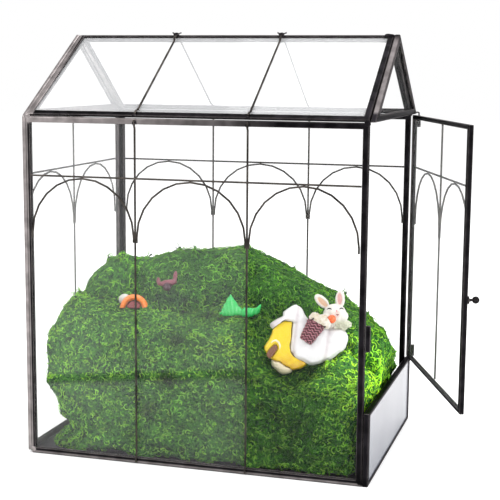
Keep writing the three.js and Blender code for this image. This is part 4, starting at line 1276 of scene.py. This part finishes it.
        # Painted shade in the crevices: the curls' colour is held towards the dark root and their
        # shade lowered
        tip = np.linspace(0, 1, self.steps) * (1 - self.gap_tip_share * deep)[:, None]
        shade = self.lightness(places, tones[tuft, 0]) * (1 - self.gap_shade * deep)
        shade = shade * source.uniform(*self.shade_spread, count)
        yellow = self.yellowness(places, tones[tuft, 1])
        yellow = yellow + source.uniform(-self.yellow_spread, self.yellow_spread, count)
        along = (places[:, 0] / MM + self.half_width_mm) / (2 * self.half_width_mm)
        bay = np.clip((along * self.bays).astype(int), 0, self.bays - 1)
        spread = self.steps * self.sides
        for index in range(self.bays):
            here = np.flatnonzero(bay == index)
            points, quads = tubes(path[here], radius[here], axis[here], self.sides)
            attributes = {
                "tip": np.repeat(tip[here].ravel(), self.sides),
                "shade": np.repeat(shade[here], spread),
                "yellow": np.repeat(np.clip(yellow[here], 0, 1), spread),
            }
            name = f"{rule.slot}_curls_{index + 1}"
            make_piece(name, points, quads, material, attributes=attributes)
        return count

    def inside(self, path: Array) -> Array:
        """Press the curls against the panes where they reach them.

        Args:
            path: the curls' points (n, steps, 3), in metres.

        Returns:
            The points, kept inside the panes.
        """
        x, y, z = path[..., 0], path[..., 1], path[..., 2]
        right = np.where(z < self.low_rail_mm * MM, self.low_right_x_mm, self.right_x_mm) * MM
        held = [
            np.clip(x, self.left_x_mm * MM, right),
            np.clip(y, -self.pane_y_mm * MM, self.pane_y_mm * MM),
            np.maximum(z, self.floor_mm * MM),
        ]
        return np.stack(held, axis=-1)

    def crevices(self, places: Array) -> Array:
        """Say how deep in a crevice between tufts each place lies."""
        return ramp(wrinkles(places / MM, self.crevice_mm, "gaps"), *self.crevice_span)

    def lightness(self, places: Array, tone: Array) -> Array:
        """Say how light the moss is at each place, with painted light and shade.

        Args:
            places: places in metres.
            tone: a random number of each place's tuft.

        Returns:
            Multipliers of the colour's lightness, painted light and shade included.
        """
        level = self.light + self.tuft_light * (tone - 0.5)
        for share, size_mm, seed in self.mottles:
            level = level + share * wrinkles(places / MM, size_mm, seed)
        # Painted light and shade of the patches
        for patch in self.patches:
            level = level + patch.light * patch.share(places)
        shadow = self.fold_shade * self.fold(places, self.fold_shadow_mm)
        return np.clip(level, *self.light_limits) * (1 - shadow)

    def yellowness(self, places: Array, tone: Array) -> Array:
        """Say how yellow the moss is at each place: the dye's tone, and painted light on the fold's
        crest and the lit patches.

        Args:
            places: places in metres.
            tone: a random number of each place's tuft.

        Returns:
            Numbers, mostly from 0 to 1.
        """
        # The fold's crest is painted yellower, a painted highlight over the fold's painted shadow
        level = self.tuft_yellow * tone**2 + self.fold_yellow * self.fold(places, 0.0)
        # The lit patches are painted yellower as part of their painted light
        for patch in self.patches:
            level = level + patch.yellow * patch.share(places)
        return level

    def fold(self, places: Array, offset_mm: float) -> Array:
        """Say how near each place is to the fold that runs along the front, left of the ornament.

        Args:
            places: places in metres.
            offset_mm: height of the asked line over the fold.

        Returns:
            Numbers from 0 to 1.
        """
        x, y, z = (places / MM).T
        line = self.fold_z_mm + (x - self.fold_from_x_mm) * self.fold_slope + offset_mm
        near = np.exp(-(((z - line) / self.fold_half_mm) ** 2))
        return near * ramp(y, *self.fold_front_y_mm) * ramp(x, *self.fold_end_x_mm)


# ---- the resin ornaments ------------------------------------------------------------------------


@dataclass(frozen=True)
class Sculpture:
    """One resin piece, worked finer from its node: remeshed, smoothed, carved and painted."""

    node: str
    slot: str
    finish: PaintedResin
    voxel_mm: float = 0.45
    smoothing: int = 6
    carve: Callable[[Array, Array], Array] | None = None
    paint: Callable[[Array, Array], Array] | None = None

    def build(self, to_local: Matrix) -> bpy.types.Object:
        """Make the finer piece in place of its node.

        Args:
            to_local: the transform from the model's metres to the ornament's own millimetres.

        Returns:
            The new piece.
        """

        def remesh(copy: bpy.types.Object) -> None:
            """Remesh the copy finely and smooth it."""
            finer = copy.modifiers.new("finer", "REMESH")
            finer.mode = "VOXEL"
            finer.voxel_size = self.voxel_mm * MM
            finer.use_smooth_shade = True
            soft = copy.modifiers.new("soft", "CORRECTIVE_SMOOTH")
            soft.iterations = self.smoothing
            soft.use_only_smooth = True

        mesh = evaluated_copy(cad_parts[self.node], remesh)
        points, triangles = mesh_arrays(mesh)
        normals = vertex_normals(mesh)
        bpy.data.meshes.remove(mesh)
        matrix = np.array(to_local.to_3x3())
        turn = matrix / np.cbrt(np.linalg.det(matrix))
        local = points @ matrix.T + np.array(to_local.translation)
        facing = normals @ turn.T
        if self.carve is not None:
            points = points + normals * (self.carve(local, facing) * MM)[:, None]
        attributes = {} if self.paint is None else {"paint": self.paint(local, facing)}
        material = self.finish.material()
        name = self.node + "_fine"
        piece = make_piece(name, points, triangles, material, attributes=attributes)
        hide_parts(self.node)
        return piece


def tinted(count: int, base: str = "#ffffff") -> Array:
    """Start a paint job with one colour."""
    return np.tile(np.array(linear(base)[:3]), (count, 1))


def dab(colours: Array, share: Array, colour: str) -> Array:
    """Paint a colour over part of the surface."""
    return colours + (np.array(linear(colour)[:3]) - colours) * np.clip(share, 0, 1)[:, None]


def spot(local: Array, x: float, z: float, rx: float, rz: float, tilt: float = 0.0) -> Array:
    """Make a soft oval spot, seen from the front.

    Args:
        local: points in the ornament's millimetres.
        x: its centre across.
        z: its centre up.
        rx: its half width.
        rz: its half height.
        tilt: how far it is turned to the left, in degrees.

    Returns:
        1 at its centre, 0 outside.
    """
    turn = math.radians(tilt)
    across = (local[:, 0] - x) * math.cos(turn) + (local[:, 2] - z) * math.sin(turn)
    up = (local[:, 2] - z) * math.cos(turn) - (local[:, 0] - x) * math.sin(turn)
    far = (across / rx) ** 2 + (up / rz) ** 2
    return ramp(-far, -1.0, -0.45)


def place_matrix(at: Point, facing: Point) -> Matrix:
    """Make the transform from the model's metres to an ornament's own millimetres."""
    turn = Euler([math.radians(a) for a in facing], "XYZ").to_matrix().to_4x4()
    return (Matrix.Translation(Vector(at) * MM) @ turn @ Matrix.Scale(MM, 4)).inverted()


@dataclass(frozen=True)
class FaceStroke:
    """A curved stroke of paint on the rabbit's face. Lengths are in the ornament's millimetres."""

    name: str
    middle: Span
    half: float
    rise: float
    thickness: float
    bends: int = 11

    def line(self) -> list[Span]:
        """List the stroke's points, across and up.

        Returns:
            Points along an arc that rises in its middle.
        """
        x, z = self.middle
        shares = np.linspace(-1, 1, self.bends)
        return [(x + self.half * share, z + self.rise * (1 - share * share)) for share in shares]


@dataclass
class RabbitHouse:
    """The resin toy: a rabbit with a basket, before a small yellow house with a white roof."""

    at: Point = (75.2, -46.0, 94.6)
    facing: Point = (-12.5, 0.0, 13.6)
    basket_at: Point = (2.3, -9.6, 2.4)
    basket_turn: Point = (4.0, 31.0, 0.0)
    strand_mm: float = 2.2
    strand_stakes: int = 9
    fold_foot_mm: float = 30.0
    fold_lean: float = 0.12

    nodes: ClassVar[tuple[str, ...]] = (
        "toy_house_wall",
        "toy_house_door",
        "toy_house_base",
        "toy_house_roof",
        "toy_basket",
        "toy_rabbit",
        "toy_carrot",
    )

    def build(self) -> None:
        """Work each piece finer, and paint the rabbit's face."""
        to_local = place_matrix(self.at, self.facing)
        pieces = [
            Sculpture(
                "toy_house_wall",
                "resin_yellow",
                PaintedResin("resin_yellow", "#dfc21c", "#cfa512", painted=True),
                carve=self.wall_relief,
                paint=self.wall_paint,
            ),
            Sculpture(
                "toy_house_door",
                "resin_brown",
                PaintedResin("resin_brown", "#71452c", "#44261a", roughness=0.45),
                carve=self.board_relief,
            ),
            Sculpture(
                "toy_house_base",
                "resin_cream",
                PaintedResin("resin_cream", "#d0c5a8", "#b5a57e"),
                carve=self.stone_relief,
            ),
            Sculpture(
                "toy_house_roof",
                "resin_white",
                PaintedResin("resin_white", "#dcdbdc", "#cbc7ca", roughness=0.32, painted=True),
                carve=self.fold_relief,
                paint=self.roof_paint,
            ),
            Sculpture(
                "toy_basket",
                "basket_red",
                PaintedResin(
                    "basket_red", "#ffffff", "#e2d4d6", roughness=0.5, coat=0.1, painted=True
                ),
                voxel_mm=0.32,
                smoothing=3,
                carve=self.weave_relief,
                paint=self.weave_paint,
            ),
            Sculpture(
                "toy_rabbit",
                "resin_white",
                PaintedResin("resin_rabbit", "#d3d0c8", "#c5beb0", roughness=0.38, painted=True),
                voxel_mm=0.32,
                smoothing=10,
                carve=self.fur_relief,
                paint=self.rabbit_paint,
            ),
            Sculpture(
                "toy_carrot",
                "resin_orange",
                PaintedResin("resin_carrot", "#ee5f17", "#d24c0c"),
                voxel_mm=0.3,
                smoothing=8,
            ),
        ]
        made = {piece.node: piece.build(to_local) for piece in pieces}
        self.add_face(made["toy_rabbit"], to_local)
        self.add_trim(made["toy_house_wall"], to_local)
        LOG.info("rabbit house: %d pieces and the face", len(made))

    @staticmethod
    def wall_relief(local: Array, normals: Array) -> Array:
        """Soft hand-worked hollows."""
        return 0.18 * wrinkles(local, 6.0, "wall")

    @staticmethod
    def wall_paint(local: Array, normals: Array) -> Array:
        """Paint ochre low on the wall: painted shade, darker towards the bottom.

        Args:
            local: points in millimetres.
            normals: not used.

        Returns:
            Paint.
        """
        colours = tinted(len(local))
        # Painted shade: ochre, darker towards the bottom
        low = ramp(-local[:, 2], 10, 22) * (0.6 + 0.3 * wrinkles(local, 5, "ochre"))
        return dab(colours, 0.7 * low, "#d8ac60")

    @staticmethod
    def board_relief(local: Array, normals: Array) -> Array:
        """Upright boards with a groove between them.

        Args:
            local: points in millimetres.
            normals: not used.

        Returns:
            Rises in millimetres.
        """
        board_mm = 2.2
        across = np.mod(local[:, 0], board_mm) / board_mm
        groove = np.exp(-(((across - 0.5) / 0.1) ** 2))
        return -0.35 * groove + 0.08 * wrinkles(local * np.array([1, 1, 0.25]), 1.2, "boards")

    @staticmethod
    def stone_relief(local: Array, normals: Array) -> Array:
        """Rounded stones in courses.

        Args:
            local: points in millimetres.
            normals: not used.

        Returns:
            Rises in millimetres.
        """
        stone_mm, course_mm = 3.8, 3.0
        row = np.floor(local[:, 2] / course_mm)
        across = np.mod(local[:, 0] + stone_mm / 2 * np.mod(row, 2), stone_mm) / stone_mm
        up = np.mod(local[:, 2], course_mm) / course_mm
        joint = np.exp(-(((across - 0.5) / 0.08) ** 2)) + np.exp(-(((up - 0.5) / 0.1) ** 2))
        return -0.22 * np.clip(joint, 0, 1) + 0.1 * wrinkles(local, 3.0, "stones")

    def roof_fold(self, local: Array, centre: float, width: float) -> Array:
        """Say how near each point is to a fold of the roof, which leans over as it rises."""
        bend = centre + (local[:, 2] - self.fold_foot_mm) * self.fold_lean
        return np.exp(-(((local[:, 0] - bend) / width) ** 2))

    def fold_relief(self, local: Array, normals: Array) -> Array:
        """Soft upright folds of the roof.

        Args:
            local: points in millimetres.
            normals: not used.

        Returns:
            Rises in millimetres.
        """
        folds = 0.0
        dips = ((-5.8, 2.0, 0.7), (18.1, 2.2, 0.7), (6.0, 3.0, 0.35), (-14.5, 2.6, 0.35))
        for centre, width, depth in dips:
            folds = folds - depth * self.roof_fold(local, centre, width)
        return folds + 0.12 * wrinkles(local, 5.0, "folds")

    def roof_paint(self, local: Array, normals: Array) -> Array:
        """Painted shade, pinkish grey, along the left edge and in the folds.

        Args:
            local: points in millimetres.
            normals: not used.

        Returns:
            Paint.
        """
        # Painted shade along the left edge and in the folds
        left = ramp(-local[:, 0], 14, 24) * ramp(-local[:, 2], -38, -20) * 0.5
        creases = 0.0
        for centre, width in ((-5.8, 1.3), (18.1, 1.4)):
            creases = creases + self.roof_fold(local, centre, width) * 0.4
        return dab(tinted(len(local)), left + creases, "#c9b3b8")

    def basket_frame(self, local: Array) -> tuple[Array, Array]:
        """Find the angle around the basket and the height along it.

        Args:
            local: points in the ornament's millimetres.

        Returns:
            Angle in radians and height in millimetres.
        """
        turn = np.array(Euler([math.radians(a) for a in self.basket_turn], "XYZ").to_matrix())
        own = (local - np.array(self.basket_at)) @ turn
        return np.arctan2(own[:, 1], own[:, 0]), own[:, 2]

    def weave(self, local: Array) -> Array:
        """Say where on its strand each point of the basket lies.

        Args:
            local: points in millimetres.

        Returns:
            1 along the middle of a strand, 0 in the gaps between strands.
        """
        angle, height = self.basket_frame(local)
        wave = 0.28 * np.sin(self.strand_stakes * angle)
        return np.sin(math.pi * np.mod(height / self.strand_mm + wave, 1.0))

    def weave_relief(self, local: Array, normals: Array) -> Array:
        """Woven strands on the sides."""
        return 0.9 * (self.weave(local) - 0.5)

    def weave_paint(self, local: Array, normals: Array) -> Array:
        """Maroon strands with a painted pinkish highlight along their tops."""
        colours = tinted(len(local), "#4b0f1e")
        # Painted highlight on the strands' tops
        return dab(colours, 0.8 * ramp(self.weave(local), 0.8, 1.0), "#c07f8a")

    @staticmethod
    def fur_relief(local: Array, normals: Array) -> Array:
        """Fluffy locks on the arm, smooth on the head.

        Args:
            local: points in millimetres.
            normals: their directions.

        Returns:
            Rises in millimetres.
        """
        fluffy = RabbitHouse.fluffy(local)
        locks = wrinkles(local * np.array([1.0, 1.0, 0.7]), 3.0, "locks")
        fine = wrinkles(local * np.array([1.0, 1.0, 0.5]), 1.3, "fluff")
        hollow = RabbitHouse.inner_ears(local, normals)
        fluff = fluffy * (0.4 * locks + 0.22 * fine)
        return fluff - 0.8 * hollow + 0.05 * wrinkles(local, 4.0, "head")

    @staticmethod
    def fluffy(local: Array) -> Array:
        """The fluffy parts: the arm over the basket and the body under the head."""
        return np.maximum(RabbitHouse.arm(local), ramp(-local[:, 2], -10.5, -8))

    @staticmethod
    def arm(local: Array) -> Array:
        """The arm that lies over the basket."""
        return ramp(-local[:, 1], 8.5, 10) * ramp(-local[:, 0], -15, -13)

    @staticmethod
    def inner_ears(local: Array, normals: Array) -> Array:
        """The hollows of the ears.

        Args:
            local: points in millimetres.
            normals: their directions.

        Returns:
            1 in the hollows, 0 elsewhere.
        """
        front = ramp(-normals[:, 1], 0.3, 0.6)
        left = spot(local, x=10.2, z=23.8, rx=2.4, rz=5.6, tilt=48)
        right = spot(local, x=22.4, z=26.6, rx=2.3, rz=5.2, tilt=4)
        return np.maximum(left, right) * front

    @staticmethod
    def rabbit_paint(local: Array, normals: Array) -> Array:
        """Paint the inner ears and the cheek, painted shade on the arm and painted shadow in the dark
        gaps beside it.

        Args:
            local: points in millimetres.
            normals: their directions.

        Returns:
            Paint.
        """
        colours = tinted(len(local))
        ears = RabbitHouse.inner_ears(local, normals)
        colours = dab(colours, ears * ramp(-local[:, 0], -17, -15), "#f3c9ad")
        colours = dab(colours, ears * ramp(local[:, 0], 15, 17), "#efb9ba")
        cheek = 0.35 * spot(local, x=21.2, z=15.4, rx=2.4, rz=2.6)
        colours = dab(colours, cheek, "#f0a9a4")
        below = ramp(local[:, 0], 17, 21) * ramp(-local[:, 2], -12, -9)
        colours = dab(colours, 0.8 * below, "#dde5cc")
        # Painted shade on the arm
        arm = RabbitHouse.arm(local) * (0.5 + 0.25 * wrinkles(local, 3.0, "locks"))
        colours = dab(colours, arm, "#e6d6bd")
        # Painted shadow in the dark gaps beside the arm
        left_gap = spot(local, x=3.2, z=11.4, rx=1.2, rz=0.9, tilt=30)
        right_gap = spot(local, x=11.6, z=6.0, rx=1.2, rz=0.9)
        return dab(colours, left_gap + right_gap, "#3a1522")

    def add_face(self, rabbit: bpy.types.Object, to_local: Matrix) -> None:
        """Paint the closed eyes, the nose and the mouth as thin raised strokes.

        Args:
            rabbit: the finished rabbit.
            to_local: the transform to the ornament's millimetres.
        """
        navy = PaintedResin("paint_navy", "#1f1c33", "#0f0e1c", roughness=0.25).material()
        pink = PaintedResin("paint_pink", "#e58a90", "#c96a74", roughness=0.25).material()
        red = PaintedResin("paint_red", "#7a1f26", "#4c1016", roughness=0.25).material()
        strokes = (
            (FaceStroke("rabbit_eye_left", (15.0, 18.4), half=1.7, rise=0.9, thickness=0.46), navy),
            (FaceStroke("rabbit_eye_right", (23.7, 18.7), half=1.6, rise=0.9, thickness=0.46), navy),
            (FaceStroke("rabbit_nose", (20.2, 17.4), half=0.5, rise=0.1, thickness=0.6), pink),
            (FaceStroke("rabbit_mouth", (20.9, 15.2), half=0.9, rise=-0.5, thickness=0.42), red),
        )
        for stroke, material in strokes:
            add_stroke(
                stroke.name, rabbit, to_local, stroke.line(), stroke.thickness, material
            )

    @staticmethod
    def add_trim(wall: bpy.types.Object, to_local: Matrix) -> None:
        """Lay the cream trim round the top of the toy door.

        Args:
            wall: the finished wall.
            to_local: the transform to the ornament's millimetres.
        """
        cream = PaintedResin("paint_cream", "#e9dcc0", "#cfb88c", roughness=0.35).material()
        left = [(-26.4, -6.2), (-24.9, -4.6), (-22.9, -4.2)]
        line = [*left, (-20.9, -5.6), (-19.9, -8.0), (-20.2, -10.8)]
        add_stroke("toy_door_trim", wall, to_local, line, 0.75, cream)


def add_stroke(
    name: str,
    under: bpy.types.Object,
    to_local: Matrix,
    line: Sequence[Span],
    thickness: float,
    material: bpy.types.Material,
) -> None:
    """Lay a thin raised stroke on the front of a piece.

    Args:
        name: the stroke's name.
        under: the piece that it lies on.
        to_local: the transform to the ornament's millimetres.
        line: its points across and up, in millimetres.
        thickness: its half width in millimetres.
        material: its finish.

    Raises:
        ValueError: if the line misses the piece.
    """
    points, triangles = mesh_arrays(under.data)
    tree = BVHTree.FromPolygons(points.tolist(), triangles.tolist())
    to_model = to_local.inverted()
    ahead = (to_model.to_3x3() @ Vector((0, 1, 0))).normalized()
    before_mm = -60.0
    starts = [to_model @ Vector((x, before_mm, z)) for x, z in line]
    hits = [tree.ray_cast(start, ahead)[0] for start in starts]
    path = np.array([[list(hit) for hit in hits if hit is not None]])
    if path.shape[1] < 3:
        raise ValueError(f"{name} doesn't meet {under.name}")
    ends = np.sqrt(np.clip(1 - np.linspace(-1, 1, path.shape[1]) ** 2, 0.05, 1))
    radii = ends[None, :] * thickness * MM
    tube_points, quads = tubes(path, radii, np.array([list(ahead)]), sides=8)
    make_piece(name, tube_points, quads, material)


@dataclass
class SmallOrnaments:
    """The small pieces that peep out of the moss, and where they stand in millimetres."""

    nodes: ClassVar[tuple[str, ...]] = (
        "orange_arch",
        "orange_arch_door",
        "white_pebble",
        "green_leaves",
        "pink_bird",
    )
    arch_at: Point = (-62.7, -38.0, 103.8)
    leaves_at: Point = (21.4, -38.0, 105.8)
    bird_at: Point = (-41.9, -20.0, 121.6)
    upright: Point = (0.0, 0.0, 0.0)

    def build(self) -> None:
        """Work each piece finer and finish it."""
        arch = place_matrix(self.arch_at, self.upright)
        leaves = place_matrix(self.leaves_at, self.upright)
        bird = place_matrix(self.bird_at, self.upright)
        Sculpture(
            "orange_arch",
            "resin_orange",
            PaintedResin("resin_arch", "#ee7f22", "#d9610f"),
            carve=self.soft,
        ).build(arch)
        Sculpture(
            "orange_arch_door",
            "resin_maroon",
            PaintedResin("resin_maroon", "#8d3b3d", "#5f2026", roughness=0.4),
            carve=RabbitHouse.board_relief,
        ).build(arch)
        Sculpture(
            "white_pebble",
            "resin_white",
            PaintedResin("resin_pebble", "#d0cdc8", "#bab4a9"),
            carve=self.soft,
        ).build(arch)
        Sculpture(
            "green_leaves",
            "plastic_green",
            PaintedResin(
                "plastic_green", "#27c45c", "#159a44", roughness=0.18, coat=0.4, see_through=0.2
            ),
            carve=self.veins,
        ).build(leaves)
        Sculpture(
            "pink_bird",
            "resin_pink",
            PaintedResin("resin_pink", "#7e3c4a", "#5c2636", painted=True),
            carve=self.soft,
            paint=self.bird_paint,
        ).build(bird)
        LOG.info("small ornaments: %d pieces", len(self.nodes))

    @staticmethod
    def soft(local: Array, normals: Array) -> Array:
        """The slight waviness of a cast piece."""
        return 0.12 * wrinkles(local, 3.5, "soft")

    @staticmethod
    def veins(local: Array, normals: Array) -> Array:
        """Upright veins of a leaf."""
        fan = local[:, 0] / (10 + np.maximum(local[:, 2], 0) * 0.4)
        return 0.22 * np.cos(fan * 26) + 0.1 * wrinkles(local, 4, "leaf")

    @staticmethod
    def bird_paint(local: Array, normals: Array) -> Array:
        """A dark purple patch low on the pink body."""
        patch = 0.9 * spot(local, x=0.4, z=-3.2, rx=4.5, rz=4.5)
        return dab(tinted(len(local)), patch, "#5a2a6e")


# ---- the stage ---------------------------------------------------------------------------------


@dataclass(frozen=True)
class Softbox:
    """A square soft light: where it hangs and looks, its width in metres and its watts."""

    name: str
    at: Point
    towards: Point
    width: float
    watts: float


@dataclass
class Stage:
    """Camera, pale floor and soft light. Lengths are in metres, angles in degrees."""

    eye: Point = (0.2760, -0.88105, 0.2848)
    yaw: float = 16.349
    pitch: float = 8.516
    roll: float = 0.448
    lens_mm: float = 87.365
    sensor_mm: float = 36.0
    floor_half: float = 6.0
    floor_glow: float = 0.12
    softboxes: Sequence[Softbox] = (
        Softbox("key", (-1.0, -1.5, 1.7), (0, 0, 0.12), 1.3, 20.0),
        Softbox("fill", (1.7, -0.7, 0.9), (0, 0, 0.12), 1.2, 20.0),
        Softbox("top", (0.1, 0.5, 1.8), (0, 0, 0.15), 1.2, 17.0),
    )

    def build(self) -> None:
        """Set the whole stage."""
        self.add_camera()
        self.add_floor()
        self.add_lights()
        bpy.context.scene.view_settings.view_transform = "Standard"
        LOG.info("stage: camera, floor and lights")

    def add_camera(self) -> None:
        """Put the camera at the photograph's viewing angle."""
        yaw, pitch, roll = (math.radians(a) for a in (self.yaw, self.pitch, self.roll))
        level = math.cos(pitch)
        forward = Vector((-math.sin(yaw) * level, math.cos(yaw) * level, -math.sin(pitch)))
        right = Vector((math.cos(yaw), math.sin(yaw), 0))
        up = right.cross(forward)
        across = math.cos(roll) * right + math.sin(roll) * up
        above = -math.sin(roll) * right + math.cos(roll) * up
        data = bpy.data.cameras.new("camera")
        data.sensor_width = self.sensor_mm
        data.lens = self.lens_mm
        camera = bpy.data.objects.new("camera", data)
        matrix = Matrix((across, above, -forward)).transposed().to_4x4()
        matrix.translation = Vector(self.eye)
        camera.matrix_world = matrix
        bpy.context.scene.collection.objects.link(camera)
        bpy.context.scene.camera = camera

    def add_floor(self) -> None:
        """Lay the pale floor."""
        half = self.floor_half
        mesh = bpy.data.meshes.new("floor")
        corners = [(-half, -half, 0), (half, -half, 0), (half, half, 0), (-half, half, 0)]
        mesh.from_pydata(corners, [], [(0, 1, 2, 3)])
        material = empty_material("floor_paper")
        settings = {"Base Color": linear("#fbfbfb"), "Roughness": 0.8}
        settings |= {"Emission Color": linear("#ffffff"), "Emission Strength": self.floor_glow}
        shader = add_node(material.node_tree, "BsdfPrincipled", settings)
        mesh.materials.append(finished(material, shader))
        floor = bpy.data.objects.new("floor", mesh)
        bpy.context.scene.collection.objects.link(floor)

    def add_lights(self) -> None:
        """Hang the soft lights and whiten the room."""
        for softbox in self.softboxes:
            data = bpy.data.lights.new(softbox.name, "AREA")
            data.size = softbox.width
            data.energy = softbox.watts
            lamp = bpy.data.objects.new(softbox.name, data)
            lamp.location = softbox.at
            heading = Vector(softbox.towards) - Vector(softbox.at)
            lamp.rotation_euler = heading.to_track_quat("-Z", "Y").to_euler()
            bpy.context.scene.collection.objects.link(lamp)
        world = bpy.data.worlds.new("room")
        world.use_nodes = True
        background = world.node_tree.nodes["Background"]
        background.inputs["Color"].default_value = linear("#ffffff")
        background.inputs["Strength"].default_value = 1.0
        bpy.context.scene.world = world


def main() -> None:
    """Build the scene in order."""
    logging.basicConfig(level=logging.INFO, format="%(name)s: %(message)s")
    Stage().build()
    Casework().build()
    MossBed().build([*RabbitHouse.nodes, *SmallOrnaments.nodes])
    RabbitHouse().build()
    SmallOrnaments().build()


if __name__ == "__main__":
    main()
